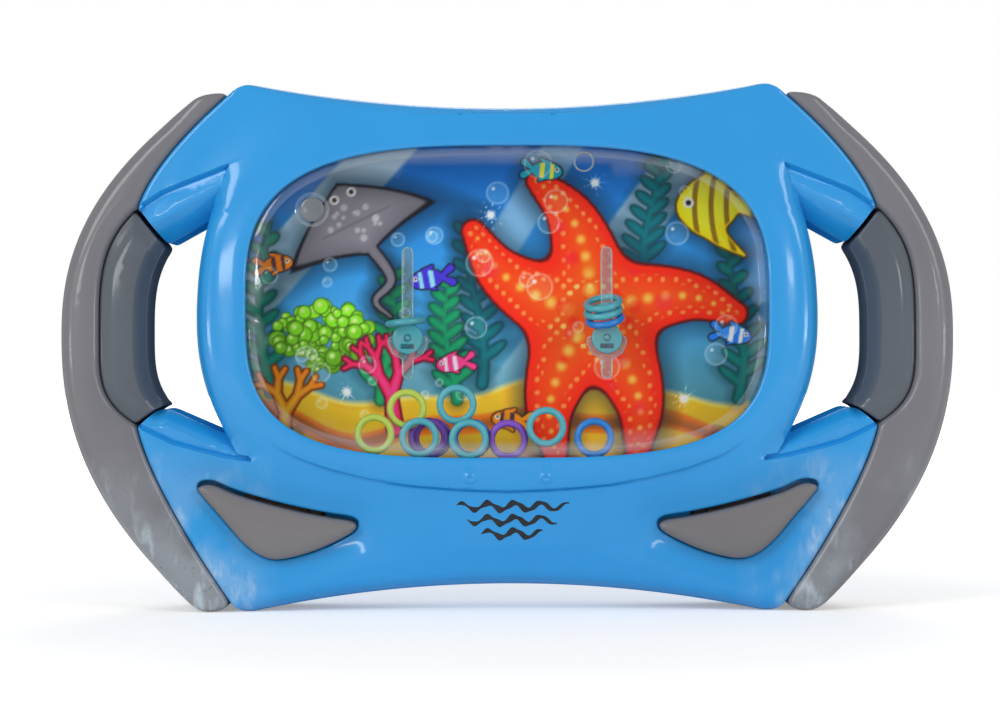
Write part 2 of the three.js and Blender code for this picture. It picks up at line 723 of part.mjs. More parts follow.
function ring(name, finishName, x, y, z, lean, tilt = 0) {
  // A ring lies flat unless it leans towards the window, and tilts to one side
  const geometry = new THREE.TorusGeometry(ringRadius, ringSection, facets.ringSection, facets.ring);
  const mesh = place(name, geometry, finishName);
  mesh.rotation.set(lean, -tilt, 0);
  mesh.position.set(x, y, z);
}

fallenShares.forEach(([finishName, layer, across, above], i) => {
  const x = across * ringReach;
  const y = waterFront + ringClearance + ringSection + (layer - 1) * ringPitch;
  ring(`fallen_ring_${i + 1}`, finishName, x, y, floorAt(x, tankPlay) + above * ringReach, Math.PI / 2);
});

// Rings on the pegs hang askew: how far left of the peg, in ring sections
const stackStep = 2 * ringSection + gap;
const landedShares = { left: 0.7, right: [['royal', 0.5], ['teal', 1], ['teal', 1.05]] };
const landedLean = THREE.MathUtils.degToRad(20);
const landedTilts = { left: THREE.MathUtils.degToRad(6), right: THREE.MathUtils.degToRad(9) };
ring('left_peg_ring', 'teal', -pegSpread - ringSection * landedShares.left, pegY, discZ + discRadius + gap,
  0, landedTilts.left);
landedShares.right.forEach(([finishName, offset], i) => {
  const z = discZ + discRadius + ringSection + i * stackStep;
  const x = pegSpread - ringSection * offset;
  ring(`right_peg_ring_${i + 1}`, finishName, x, pegY, z, landedLean, landedTilts.right);
});

// Buttons, and behind each its soft dome, retainer, cup with duct, and nozzle

const buttonFace = panelFront - buttonRise;
const bellowsBase = bellowsFront + bellowsHeight;
const flangeRadius = bellowsRadius + bellowsFlange;
const flangeBack = bellowsBase + bellowsWall;
const cupFront = flangeBack + gap;
const cupBack = panelRearInside - gap;
const plungerShare = 0.4; // of the dome's radius
const bellowsShares = [[0.55, 0.05], [0.87, 0.28], [1, 0.62]]; // of the dome's radius and height

function button(sign) {
  return joined(
    solid(stack([
      ...buttonEdgeShares.map(([down, across]) => [
        buttonFace + buttonEdge * down, buttonOutline(sign, buttonEdge * across)]),
      [flangeFront + flangeThickness / 2, buttonOutline(sign, 0)],
    ])),
    stack([
      [flangeFront, buttonOutline(sign, -flangeReach)],
      [flangeFront + flangeThickness, buttonOutline(sign, -flangeReach)],
    ]),
    rod(sign * pumpX, buttonZ, bellowsRadius * plungerShare, flangeFront, bellowsFront - gap),
  );
}

function bellows() {
  const inner = bellowsRadius - bellowsWall;
  const dome = (radius, front) => bellowsShares.map(([across, down]) => [
    radius * across, front + bellowsHeight * down]);
  return [
    [0, bellowsFront], ...dome(bellowsRadius, bellowsFront), [bellowsRadius, bellowsBase],
    [flangeRadius, bellowsBase], [flangeRadius, flangeBack], [inner, flangeBack],
    ...dome(inner, bellowsFront + bellowsWall).reverse(), [0, bellowsFront + bellowsWall],
  ];
}

function retainer() {
  const front = bellowsBase - gap - retainerThickness;
  const inner = flangeRadius + 2 * gap;
  const outer = inner + retainerThickness;
  return [
    [bellowsRadius + gap, front], [outer, front], [outer, flangeBack], [inner, flangeBack],
    [inner, bellowsBase - gap], [bellowsRadius + gap, bellowsBase - gap], [bellowsRadius + gap, front],
  ];
}

const cupRadius = flangeRadius + 2 * gap + retainerThickness;
const ductShare = 0.6; // of the dome's radius, up to the duct's foot
const nozzleTipShares = { radius: 0.75, height: 0.5 };
const ductTop = floorAt(nozzleX - ductRadius, tankPlay + tankWall) - gap;
const ductLow = buttonZ + bellowsRadius * ductShare;
const socketLow = ductTop - nozzleRise * 2;
const nozzleTop = floorAt(nozzleX, tankPlay) + nozzleRise;

function pumpCup(sign) {
  const inner = bellowsRadius - bellowsWall * 2;
  const cup = solid(turned([
    [0, cupBack], [cupRadius, cupBack], [cupRadius, cupFront], [inner, cupFront],
    [inner, cupBack - wall], [0, cupBack - wall],
  ], sign * pumpX, buttonZ));
  const duct = cutBy(
    solid(pillar(sign * nozzleX, nozzleY, ductRadius, ductLow, ductTop)),
    rod(sign * pumpX, buttonZ, cupRadius + gap, lipFront, cupFront, facets.pump),
  );
  const roof = solid(rod(sign * pumpX, buttonZ, inner, cupFront, cupBack - wall, facets.pump));
  return cutBy(
    cup.add(duct.subtract(roof)),
    pillar(sign * nozzleX, nozzleY, nozzleBore, buttonZ, ductTop + overrun, facets.screw),
    pillar(sign * nozzleX, nozzleY, nozzleRadius + gap, socketLow, ductTop + overrun),
  );
}

function nozzle(x) {
  const profile = [
    [nozzleBore, socketLow + gap], [nozzleRadius, socketLow + gap],
    [nozzleRadius, nozzleTop - nozzleRise * nozzleTipShares.height],
    [nozzleRadius * nozzleTipShares.radius, nozzleTop],
    [nozzleBore, nozzleTop], [nozzleBore, socketLow + gap],
  ].map(([radius, height]) => new THREE.Vector2(radius, height));
  return new THREE.LatheGeometry(profile, facets.pin).rotateX(Math.PI / 2).translate(x, nozzleY, 0);
}

sides.forEach(([side, sign]) => {
  place(`${side}_button`, surface(button(sign)), 'button');
  place(`${side}_pump_bellows`, turned(bellows(), sign * pumpX, buttonZ), 'rubber');
  place(`${side}_bellows_ring`, turned(retainer(), sign * pumpX, buttonZ), 'grey');
  place(`${side}_pump_cup`, surface(pumpCup(sign)), 'grey');
  place(`${side}_nozzle`, nozzle(sign * nozzleX), 'grey');
});

const screwTipShare = 0.5; // of the shank's radius
const headShares = [[1, 0], [0.9, 0.7], [0.55, 1], [0, 1]]; // of the head's radius and height
screwPlaces.forEach(({ name, x, z }) => {
  const seat = screwSeat + gap;
  const tip = seat - screwLength;
  place(name, turned([
    [0, tip], [shankRadius * screwTipShare, tip], [shankRadius, tip + shankRadius], [shankRadius, seat],
    ...headShares.map(([across, up]) => [headRadius * across, seat + headHeight * up]),
  ], x, z, facets.pin), 'steel');
});

export default object;
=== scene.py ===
import math

import bmesh
import bpy
import numpy as np
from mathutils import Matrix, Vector
from mathutils.geometry import delaunay_2d_cdt


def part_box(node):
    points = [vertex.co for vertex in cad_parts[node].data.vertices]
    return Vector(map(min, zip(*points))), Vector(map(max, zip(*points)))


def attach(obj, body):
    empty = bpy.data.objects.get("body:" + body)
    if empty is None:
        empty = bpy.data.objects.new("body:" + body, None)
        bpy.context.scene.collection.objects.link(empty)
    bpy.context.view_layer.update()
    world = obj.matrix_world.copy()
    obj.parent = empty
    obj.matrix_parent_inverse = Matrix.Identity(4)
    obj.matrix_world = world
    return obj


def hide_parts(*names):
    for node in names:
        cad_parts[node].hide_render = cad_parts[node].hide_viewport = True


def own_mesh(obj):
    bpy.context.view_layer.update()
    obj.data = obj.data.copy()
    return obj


# Shapes are worked out in millimetres: x to the right, z up, y into the toy. metre turns them into metres.
metre = 0.001
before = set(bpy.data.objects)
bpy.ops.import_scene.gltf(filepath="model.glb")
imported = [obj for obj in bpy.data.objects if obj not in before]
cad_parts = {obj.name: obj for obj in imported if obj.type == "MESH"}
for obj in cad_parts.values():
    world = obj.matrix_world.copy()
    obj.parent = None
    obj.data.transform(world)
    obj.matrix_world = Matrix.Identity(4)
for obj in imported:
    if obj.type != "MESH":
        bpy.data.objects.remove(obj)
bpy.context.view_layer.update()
print("frame loaded")

# Main sizes, the same as the part's own
body = dict(
    height=128.1, half=108.8, lip=16.0, panel=12.5, split=0.08, wall=2.0, gap=0.3, skin=9.8,
    windowReach=63.15, windowHalf=37.65, windowMiddle=75.1, upperPower=3.05, lowerPower=3.5,
    bandInner=99.2, gripInner=88.2, bezelReach=75.55, bezelHigh=120.65, bezelLow=29.35, bezelPowers=(1.9, 4),
    topSag=6.1, lowSag=6.3, edgeShare=0.57, cornerShare=0.615, seamDrawShare=0.083,
)
tank = dict(play=1.2, wall=1.6, front=-14.4, paneFront=-15.2, waterFront=-13.0, waterBack=2.5,
            cardFront=4.3, cardBack=4.9)
shadowless = ("clearPane", "clearTankWall", "clearPeg", "airBubble")


def metres(*parts):
    # Stacks x, y and z arrays into points, turned from millimetres to metres
    return np.stack(np.broadcast_arrays(*parts), axis=-1).astype(float) * metre


def ramp(value, low, high):
    # A smooth step: 3t^2 - 2t^3 of the share t of the way from low to high
    t = np.clip((value - low) / (high - low), 0, 1)
    return t * t * (3 - 2 * t)


def roundOff(distance, width, depth):
    # Quarter ellipse: how far a surface has dropped at a distance in from its edge
    t = 1 - np.clip(distance / width, 0, 1)
    return depth * (1 - np.sqrt(np.maximum(1 - t * t, 0)))


def sloped(distance, width, depth):
    # A power curve: flat where it starts, then an even slope down to the edge
    return depth * (1 - np.clip(distance / width, 0, 1)) ** 1.5


def putMesh(name, points, faces, material, sharp=35):
    # A mesh object from an array of points in metres and one or more arrays of faces
    groups = [np.asarray(group) for group in (faces if isinstance(faces, list) else [faces])]
    loops = np.concatenate([group.ravel() for group in groups])
    sizes = np.concatenate([np.full(len(group), group.shape[1]) for group in groups])
    mesh = bpy.data.meshes.new(name)
    mesh.vertices.add(len(points))
    mesh.vertices.foreach_set("co", np.asarray(points, float).ravel())
    mesh.loops.add(len(loops))
    mesh.loops.foreach_set("vertex_index", loops.astype(np.int32))
    mesh.polygons.add(len(sizes))
    mesh.polygons.foreach_set("loop_start", np.concatenate([[0], np.cumsum(sizes)[:-1]]).astype(np.int32))
    mesh.update(calc_edges=True)
    mesh.validate()
    mesh.polygons.foreach_set("use_smooth", np.ones(len(mesh.polygons), bool))
    mesh.set_sharp_from_angle(angle=math.radians(sharp))
    piece = bpy.data.objects.new(name, mesh)
    bpy.context.scene.collection.objects.link(piece)
    piece.data.materials.append(material)
    # Clear plastic casts no shadow, so the print behind it stays as bright as the case
    piece.visible_shadow = material.name not in shadowless
    return piece


# Outlines

cornerZone = (14, 6)  # how far from the top and the bottom the corners begin and end


def sideCurve(z, peak, high, low, highPower, lowPower, reach, highEnd, lowEnd):
    # Half-width at a height: it draws in from its widest point by a power of the share of the way to an end
    share = z / body["height"]
    up = np.clip((share - peak) / max(high - peak, 1e-6), 0, 2) ** highPower * (reach - highEnd)
    down = np.clip((peak - share) / max(peak - low, 1e-6), 0, 2) ** lowPower * (reach - lowEnd)
    return reach - np.where(share > peak, up, down)


corner = body["cornerShare"] * body["half"]
seam = body["bandInner"] - body["seamDrawShare"] * body["half"]
# Heights at which one line hands over to the next, as shares of the body's height
level = dict(foot=0.012, bandLow=0.351, bandHigh=0.767, bandTop=0.979, seamTop=0.984, gripLow=0.385,
             gripHigh=0.699, gapLow=0.335, gapHigh=0.745, bezelLow=0.299, bezelHigh=0.859)
# Each side curve: its widest level, its ends above and below, two powers, and the half-widths at all three
curves = dict(
    outer=(0.523, level["bandTop"], level["foot"], 2.35, 2.3, body["half"], corner + 7.8, corner + 9.8),
    highSeam=(0.742, level["seamTop"], 0.742, 1.56, 1, seam, corner, seam),
    lowSeam=(0.367, 0.367, level["foot"], 1, 1.37, seam, seam, corner),
    band=(0.515, level["bandHigh"], level["bandLow"], 3.8, 3.8,
          body["bandInner"], body["bandInner"] - 9.57, body["bandInner"] - 10.0),
    grip=(0.523, level["gripHigh"], level["gripLow"], 3.3, 3.3,
          body["gripInner"], body["gripInner"] - 5.22, body["gripInner"] - 5.22),
    bezel=(0.556, level["bezelHigh"], level["bezelLow"], 2.24, 2.24,
           body["bezelReach"], body["bezelReach"] - 9.2, body["bezelReach"] - 10.34),
)


def along(name, start, end, count=1, shift=0.0):
    # Points of a side curve between two shares of the height
    z = np.linspace(start, end, count) * body["height"]
    return np.stack([sideCurve(z, *curves[name]) + shift, z], axis=1)


def at(name, share):
    # The one point of a side curve at a share of the height
    return along(name, share, share)


def resampled(points, spacing, closed=True):
    # The same line with points at equal distances along it
    ring = np.vstack([points, points[:1]]) if closed else np.asarray(points, float)
    run = np.concatenate([[0], np.cumsum(np.hypot(*np.diff(ring, axis=0).T))])
    count = max(int(run[-1] / spacing), 3)
    t = np.linspace(0, run[-1], count + 1)
    line = np.stack([np.interp(t, run, ring[:, 0]), np.interp(t, run, ring[:, 1])], axis=1)
    return line[:-1] if closed else line


def softened(points, spacing, reach, cornerReach=None):
    # Corners rounded: a closed line averaged twice over a window of its neighbours, wider at top and bottom
    line = resampled(points, spacing)

    def averaged(width):
        half, mean = max(int(width / spacing / 2), 1), line
        for _ in range(2):
            mean = np.mean([np.roll(mean, k, axis=0) for k in range(-half, half + 1)], axis=0)
        return mean

    if cornerReach is None:
        return averaged(reach)
    half = body["height"] / 2
    share = ramp(np.abs(line[:, 1] - half), half - cornerZone[0], half - cornerZone[1])[:, None]
    return averaged(reach) * (1 - share) + averaged(cornerReach) * share


def mirrored(half):
    # A right half from the bottom to the top, closed by its mirror image
    return np.vstack([half, (half[1:-1] * [-1, 1])[::-1]])


def onSide(line, sign):
    # A right-hand outline, or its mirror image turned the same way round
    return line if sign > 0 else (line * [-1, 1])[::-1]


def bothSides(rows):
    # Points on the right, and the same points on the left
    return [rows, rows * [-1, 1]]


edgeEnd = body["edgeShare"] * body["half"]


def edgeRise(x, sag):
    # The sagging top and bottom edges: a parabola that ends at the corners
    return sag * np.maximum(0, 1 - (x / edgeEnd) ** 2)


lowLine = np.linspace(0, edgeEnd, 40)
armEnd = np.array([[body["gripInner"] - 0.026 * body["half"], 0.383 * body["height"]]])
parts = dict(
    foot=np.stack([lowLine, edgeRise(lowLine, body["lowSag"])], axis=1),
    land=np.array([[0.572, 0], [0.598, 0]]) * body["half"],
    lowSeam=along("lowSeam", level["foot"], level["bandLow"], 40),
    lowGap=np.vstack([armEnd, at("grip", level["gripLow"]), at("bezel", level["gapLow"])]),
    bezelSide=along("bezel", level["gapLow"], level["gapHigh"], 60),
    highGap=np.vstack([at("bezel", level["gapHigh"]), at("grip", level["gripHigh"])]),
    highSeam=along("highSeam", level["bandHigh"], level["seamTop"], 40),
    top=np.stack([lowLine, body["height"] - edgeRise(lowLine, body["topSag"])], axis=1)[::-1],
)
topCorner = np.array([[(edgeEnd + corner) / 2, body["height"] - body["gap"]]])
bodyOutline = softened(mirrored(np.vstack([
    parts["foot"], parts["land"], parts["lowSeam"], parts["lowGap"], parts["bezelSide"][1:-1],
    parts["highGap"], parts["highSeam"], topCorner, parts["top"],
])), spacing=0.6, reach=1.4, cornerReach=4.2)


def windowOutline(grow, count=240):
    # A superellipse with one power above its middle and a squarer one below
    angle = np.linspace(0, 2 * math.pi, count, endpoint=False) - math.pi / 2
    power = 2 / np.where(np.sin(angle) > 0, body["upperPower"], body["lowerPower"])
    across, up = (np.sign(way) * np.abs(way) ** power for way in (np.cos(angle), np.sin(angle)))
    return np.stack([across * (body["windowReach"] + grow),
                     body["windowMiddle"] + up * (body["windowHalf"] + grow)], axis=1)


def bezelOutline():
    # The oval's side curves, closed above and below by powers of the distance across
    t = np.linspace(0, 1, 40)
    foot, head = (
        np.stack([t * end[0], middle + (end[1] - middle) * t ** power], axis=1)
        for end, middle, power in zip((at("bezel", level["bezelLow"])[0], at("bezel", level["bezelHigh"])[0]),
                                      (body["bezelLow"], body["bezelHigh"]), body["bezelPowers"]))
    side = along("bezel", level["bezelLow"], level["bezelHigh"], 80)
    return resampled(mirrored(np.vstack([foot[:-1], side, head[::-1][1:]])), 0.8)


buttonShape = dict(
    width=38.4, height=17.9, middle=0.171, margin=4.8, front=14.8, back=8.4, slot=0.3, upperGap=0.85,
    edge=2.3, drop=1.5, crown=0.35, crownSpan=(1.5, 6),
    points=[(0.5, 0.466), (0.414, 0.5), (0.268, 0.372), (0.068, 0.243), (-0.13, 0.137), (-0.326, 0.053),
            (-0.466, 0.003), (-0.5, -0.075), (-0.424, -0.204), (-0.227, -0.394), (-0.029, -0.5),
            (0.089, -0.466), (0.208, -0.288), (0.346, 0.053), (0.466, 0.349)],
)
buttonZ = buttonShape["middle"] * body["height"]
seamThere = float(sideCurve(np.array(buttonZ), *curves["lowSeam"]))
buttonX = seamThere - buttonShape["margin"] - buttonShape["width"] / 2


def circle(x, z, radius, count=36):
    # Points at equal angles round a centre
    angle = np.linspace(0, 2 * math.pi, count, endpoint=False)
    return np.stack([x + radius * np.cos(angle), z + radius * np.sin(angle)], axis=1)


def normals(line, closed=True):
    # Unit normals, square to the run from each point's neighbour to the next
    tangent = (np.roll(line, -1, axis=0) - np.roll(line, 1, axis=0)) if closed else np.gradient(line, axis=0)
    return np.stack([tangent[:, 1], -tangent[:, 0]], axis=1) / np.linalg.norm(tangent, axis=1)[:, None]


def catmullRom(a, b, c, d, t):
    # Half of 2b + (c - a)t + (2a - 5b + 4c - d)t^2 + (3b - a - 3c + d)t^3, which runs from b to c
    square, cube = 2 * a - 5 * b + 4 * c - d, 3 * b - a - 3 * c + d
    return 0.5 * (2 * b + (c - a) * t + square * t ** 2 + cube * t ** 3)


def splined(points, count):
    # A closed Catmull-Rom curve through the given points
    p = np.asarray(points, float)
    around = (np.roll(p, k, axis=0)[:, None] for k in (1, 0, -1, -2))
    return catmullRom(*around, np.linspace(0, 1, count, endpoint=False)[:, None]).reshape(-1, 2)


def buttonOutline(sign, grow=0.0):
    # The button's curve, or its slot, which stands off by the growth and by more where the edge faces up
    shares = np.array(buttonShape["points"])
    curve = splined(shares * [buttonShape["width"], buttonShape["height"]] + [buttonX, buttonZ], 14)
    line = softened(curve, spacing=0.45, reach=1.2)
    if grow:
        outward = normals(line)
        upward = np.maximum(outward[:, 1], 0)
        line = line + outward * (grow + buttonShape["upperGap"] * upward)[:, None]
    return onSide(line, sign)


# Distances to lines, the basis of every height below


def away(x, z, line, closed=True):
    # Distance to the nearest segment of a line, for whole arrays of points
    start = np.asarray(line, float)
    end = np.roll(start, -1, axis=0) if closed else start[1:]
    start = start if closed else start[:-1]
    runX, runZ = (end - start).T
    share = 1 / np.maximum(runX ** 2 + runZ ** 2, 1e-12)
    flatX, flatZ = np.ravel(x), np.ravel(z)
    least = np.empty(len(flatX))
    for first in range(0, len(flatX), 800):
        offX = flatX[first:first + 800, None] - start[:, 0]
        offZ = flatZ[first:first + 800, None] - start[:, 1]
        t = np.clip((offX * runX + offZ * runZ) * share, 0, 1)
        offX -= t * runX
        offZ -= t * runZ
        least[first:first + 800] = (offX * offX + offZ * offZ).min(axis=1)
    return np.sqrt(least).reshape(np.shape(x))


def within(x, z, line):
    # Even-odd count of the line's crossings to the right of each point
    a = np.asarray(line, float)
    b = np.roll(a, -1, axis=0)
    flatX, flatZ = np.ravel(x)[:, None], np.ravel(z)[:, None]
    crosses = (a[:, 1] > flatZ) != (b[:, 1] > flatZ)
    rise = np.where(np.abs(b[:, 1] - a[:, 1]) < 1e-12, 1e-12, b[:, 1] - a[:, 1])
    place = a[:, 0] + (flatZ - a[:, 1]) / rise * (b[:, 0] - a[:, 0])
    return ((crosses & (flatX < place)).sum(axis=1) % 2 == 1).reshape(np.shape(x))


def depthIn(x, z, line):
    # Signed distance: positive inside a closed line
    return away(x, z, line) * np.where(within(x, z, line), 1, -1)


def beside(line, offsets, closed=True):
    # Rows of points on both sides of a line, for the places where a surface turns quickly
    return np.vstack([line + normals(line, closed) * offset for offset in offsets])


def inRegion(x, z, outline, holes):
    # True inside the outline and outside each hole
    good = within(x, z, outline)
    for line in holes:
        good &= ~within(x, z, line)
    return good


# How a plate's points are spread: least distances as shares of a row's offset or of the grid's spacing
mesher = dict(rowShare=0.92, featureGap=0.12, gridShare=0.45, aroundShare=0.4, rowStep=0.87, block=400,
              wallShares=(0.06, 0.5, 0.94), weld=1e-5)


def platePoints(loops, rows, spacing, features):
    # Rows of points in from each edge, the features' own points, and a staggered grid where neither is near
    outline, *holes = loops
    kept = [(beside(line, [offset if rank else -offset]), offset * mesher["rowShare"])
            for rank, line in enumerate(loops) for offset in rows]
    kept += [(np.asarray(points), mesher["featureGap"]) for points in features]
    low, high = outline.min(axis=0), outline.max(axis=0)
    up = np.arange(low[1], high[1], spacing * mesher["rowStep"])
    gridX, gridZ = np.meshgrid(np.arange(low[0], high[0], spacing), up)
    gridX = gridX + (np.arange(len(up)) % 2)[:, None] * spacing / 2
    kept.append((np.stack([gridX.ravel(), gridZ.ravel()], axis=1), rows[-1] + spacing * mesher["gridShare"]))
    chosen = []
    for rank, (points, least) in enumerate(kept):
        x, z = points.T
        good = inRegion(x, z, outline, holes)
        good &= np.min([away(x, z, line) for line in loops], axis=0) >= least
        if rank == len(kept) - 1 and len(features):
            near = np.vstack(features)
            for block in np.array_split(near, max(len(near) // mesher["block"], 1)):
                gaps = (x[:, None] - block[:, 0]) ** 2 + (z[:, None] - block[:, 1]) ** 2
                good &= gaps.min(axis=1) > (spacing * mesher["aroundShare"]) ** 2
        chosen.append(points[good])
    return chosen


def plate(name, outline, holes, front, back, rows, spacing, material, features=(), sharp=35):
    # A closed body over a flat region: front and back are heights over x and z, with walls along its edges
    loops = [outline, *holes]
    flat = np.vstack([*loops, *platePoints(loops, rows, spacing, features)])
    ends = np.cumsum([len(line) for line in loops])
    starts = ends - [len(line) for line in loops]
    edges = [(a + i, a + (i + 1) % (b - a)) for a, b in zip(starts, ends) for i in range(b - a)]
    result = delaunay_2d_cdt([Vector(p) for p in flat], edges, [], 0, mesher["weld"])
    found, _, triangles, origin = result[:4]
    spots, faces = np.array([tuple(p) for p in found]), np.array(triangles)
    faces = faces[inRegion(*spots[faces].mean(axis=1).T, outline, holes)]
    a, b, c = (spots[faces[:, k]] for k in range(3))
    area = (b[:, 0] - a[:, 0]) * (c[:, 1] - a[:, 1]) - (b[:, 1] - a[:, 1]) * (c[:, 0] - a[:, 0])
    faces[area < 0] = faces[area < 0][:, ::-1]
    x, z = spots.T
    yFront, yBack = front(x, z), back(x, z)
    points, walls = [metres(x, yFront, z), metres(x, yBack, z)], []
    where = {source: i for i, sources in enumerate(origin) for source in sources}
    total = 2 * len(spots)
    for rank, (a, b) in enumerate(zip(starts, ends)):
        ring = np.array([where[i] for i in range(a, b)])
        across, up = np.asarray(loops[rank]).T
        turning = (across * np.roll(up, -1) - np.roll(across, -1) * up).sum() > 0
        if turning != (rank == 0):
            ring = ring[::-1]
        levels = [ring]
        for share in mesher["wallShares"]:
            points.append(metres(x[ring], yFront[ring] + (yBack[ring] - yFront[ring]) * share, z[ring]))
            levels.append(np.arange(total, total + len(ring)))
            total += len(ring)
        levels.append(ring + len(spots))
        for upper, lower in zip(levels[:-1], levels[1:]):
            walls.append(np.stack([upper, lower, np.roll(lower, -1), np.roll(upper, -1)], axis=1))
    caps = np.vstack([faces, faces[:, ::-1] + len(spots)])
    return putMesh(name, np.vstack(points), [caps, np.vstack(walls)], material, sharp)


def marked(piece, name, share):
    # A value from 0 to 1 at each point of a piece, from a function of x, y and z, for its material
    spots = np.empty(len(piece.data.vertices) * 3)
    piece.data.vertices.foreach_get("co", spots)
    value = share(*(spots.reshape(-1, 3).T / metre)).astype(np.float32)
    piece.data.attributes.new(name, "FLOAT", "POINT").data.foreach_set("value", value)


def flatAt(height):
    # A flat face at one height
    return lambda x, z: height + 0 * x


def gridFaces(rows, columns, closedRows=False, closedColumns=False):
    # Quads between neighbours on a grid of points, which may close on itself either way
    spans = rows - (not closedRows), columns - (not closedColumns)
    i, j = np.meshgrid(*map(np.arange, spans), indexing="ij")
    k, m = (i + 1) % rows * columns, (j + 1) % columns
    i = i * columns
    return np.stack([i + j, k + j, k + m, i + m], axis=-1).reshape(-1, 4)


def border(index):
    # The numbers round the edge of a grid, in order
    return np.concatenate([index[0], index[1:, -1], index[-1, -2::-1], index[-2:0:-1, 0]])


def cleaned(piece):
    # Doubles merged and normals turned outwards
    shape = bmesh.new()
    shape.from_mesh(piece.data)
    bmesh.ops.remove_doubles(shape, verts=shape.verts, dist=1e-7)
    bmesh.ops.recalc_face_normals(shape, faces=shape.faces)
    shape.to_mesh(piece.data)
    shape.free()
    return piece


turnedRound = [0, 3, 2, 1]


def revolved(name, profile, x, z, material, count=48, sharp=35):
    # A profile of [radius, depth] pairs swept once round a line along y through (x, z)
    angle = np.linspace(0, 2 * math.pi, count, endpoint=False)
    radius, depth = np.asarray(profile, float).T[:, :, None]
    points = metres(x + radius * np.cos(angle), depth + 0 * angle, z + radius * np.sin(angle)).reshape(-1, 3)
    faces = gridFaces(len(profile), count, closedColumns=True)[:, turnedRound]
    return cleaned(putMesh(name, points, faces, material, sharp))


# Materials


def linearShare(share):
    # The renderer's own scale for shares of a screen colour: ((share + 0.055) / 1.055)^2.4
    return ((share + 0.055) / 1.055) ** 2.4


def linear(*colour):
    # A colour written as 0 to 255 turned to that scale, which is straight for the darkest shares
    share = np.array(colour) / 255
    return (*np.where(share <= 0.04045, share / 12.92, linearShare(share)).tolist(), 1.0)


def newMaterial(name):
    # A material, its node tree and its shader
    material = bpy.data.materials.new(name)
    material.use_nodes = True
    return material, material.node_tree, material.node_tree.nodes["Principled BSDF"]


def fill(tree, node, inputs):
    # Numbers and colours are set on a node's inputs, and other nodes' outputs are linked to them
    for name, value in inputs.items():
        if isinstance(value, (int, float, tuple)):
            node.inputs[name].default_value = value
        else:
            tree.links.new(value, node.inputs[name])


def add(tree, kind, inputs=None, **settings):
    # A new node with its settings and inputs, from which the outputs are handed back
    node = tree.nodes.new("ShaderNode" + kind)
    for name, value in settings.items():
        setattr(node, name, value)
    fill(tree, node, inputs or {})
    return node.outputs


def noise(tree, source, scale, detail=2.0, roughness=0.5):
    # The renderer's own fractal noise, from about 0 to 1
    inputs = {"Vector": source, "Scale": scale, "Detail": detail, "Roughness": roughness}
    return add(tree, "TexNoise", inputs)["Fac"]


def spread(tree, source, low, high, toLow=0, toHigh=1):
    # The range from low to high stretched to another range, and held at its ends
    inputs = {"Value": source, "From Min": low, "From Max": high, "To Min": toLow, "To Max": toHigh}
    return add(tree, "MapRange", inputs)["Result"]


def combined(tree, operation, *values):
    # Two numbers or outputs put together by one operation
    return add(tree, "Math", dict(enumerate(values)), operation=operation)["Value"]


def times(tree, *values):
    # The product of two
    return combined(tree, "MULTIPLY", *values)


def mixedColour(tree, factor, first, second):
    # From the first colour to the second by a factor
    return add(tree, "Mix", {"Factor": factor, "A": first, "B": second}, data_type="RGBA")["Result"]


def bumped(tree, place, scale, strength):
    # The normal that a fine noise gives, as relief of a twentieth of a millimetre
    height = noise(tree, place, scale, 2)
    return add(tree, "Bump", {"Height": height, "Strength": strength, "Distance": 0.05 * metre})["Normal"]


# Noises in use: scale, detail, and the range that is stretched to the whole
patterns = dict(
    drift=(22, 3, 0.35, 0.68), gloss=(90, 4, 0.3, 0.75), haze=(60, 3, 0.3, 0.8), patch=(60, 2, 0.38, 0.56),
    scratch=(260, 3, 0.52, 0.68), speck=(900, 2, 0.66, 0.72), ink=(260, 4, 0.35, 0.7),
    steel=(700, 3, 0.3, 0.7),
)


def pattern(tree, place, name, toLow=0, toHigh=1, roughness=0.5):
    # One of those noises, run from one value to another
    scale, detail, low, high = patterns[name]
    return spread(tree, noise(tree, place, scale, detail, roughness), low, high, toLow, toHigh)


# Wear and a painted reflection at the lower outer corners, which lie between these distances from the middle
# and the floor, in metres
cornerWearAndSheen = dict(outward=(0.055, 0.074), down=(0.04, 0.012), stretch=(1, 1, 0.35), turn=(0, 0.6, 0),
            paintedSheen=0.3, dull=0.3, pale=(205, 222, 232), dirt=(60, 70, 78))
# Gloss: where it dies away as a surface turns from the eye, the coat's roughness, and the mould grain's scale
sheen = dict(fade=(0.55, 0.85), coatRoughness=0.07, grainScale=1400, uneven=(0.9, 1.15))
clearSheet = dict(ior=1.46, cover=(0.04, 0.6), uneven=(0.7, 1.5))


def wornAndSheenedCorners(tree, place, base, gloss, wear):
    # A corner's share times patches is its painted reflection, a pale sheen. That times streaks or specks is
    # its scratches and dirt
    split = add(tree, "SeparateXYZ", {"Vector": place})
    outward = spread(tree, combined(tree, "ABSOLUTE", split["X"]), *cornerWearAndSheen["outward"])
    zone = times(tree, outward, spread(tree, split["Z"], *cornerWearAndSheen["down"]))
    streaks = add(tree, "Mapping", {"Vector": place, "Scale": cornerWearAndSheen["stretch"], "Rotation": cornerWearAndSheen["turn"]})
    scratch = pattern(tree, streaks["Vector"], "scratch", 0, 0.8, roughness=0.6)
    speck = pattern(tree, place, "speck", 0, 0.7)
    zone = times(tree, zone, pattern(tree, place, "patch"))
    # Painted reflection: a pale sheen laid into the lower corners' colour
    base = mixedColour(tree, times(tree, zone, cornerWearAndSheen["paintedSheen"] * wear), base, linear(*cornerWearAndSheen["pale"]))
    rubbed, dusty = (times(tree, times(tree, mark, zone), wear) for mark in (scratch, speck))
    base = mixedColour(tree, rubbed, base, linear(*cornerWearAndSheen["pale"]))
    base = mixedColour(tree, dusty, base, linear(*cornerWearAndSheen["dirt"]))
    return base, combined(tree, "ADD", gloss, times(tree, rubbed, cornerWearAndSheen["dull"]))


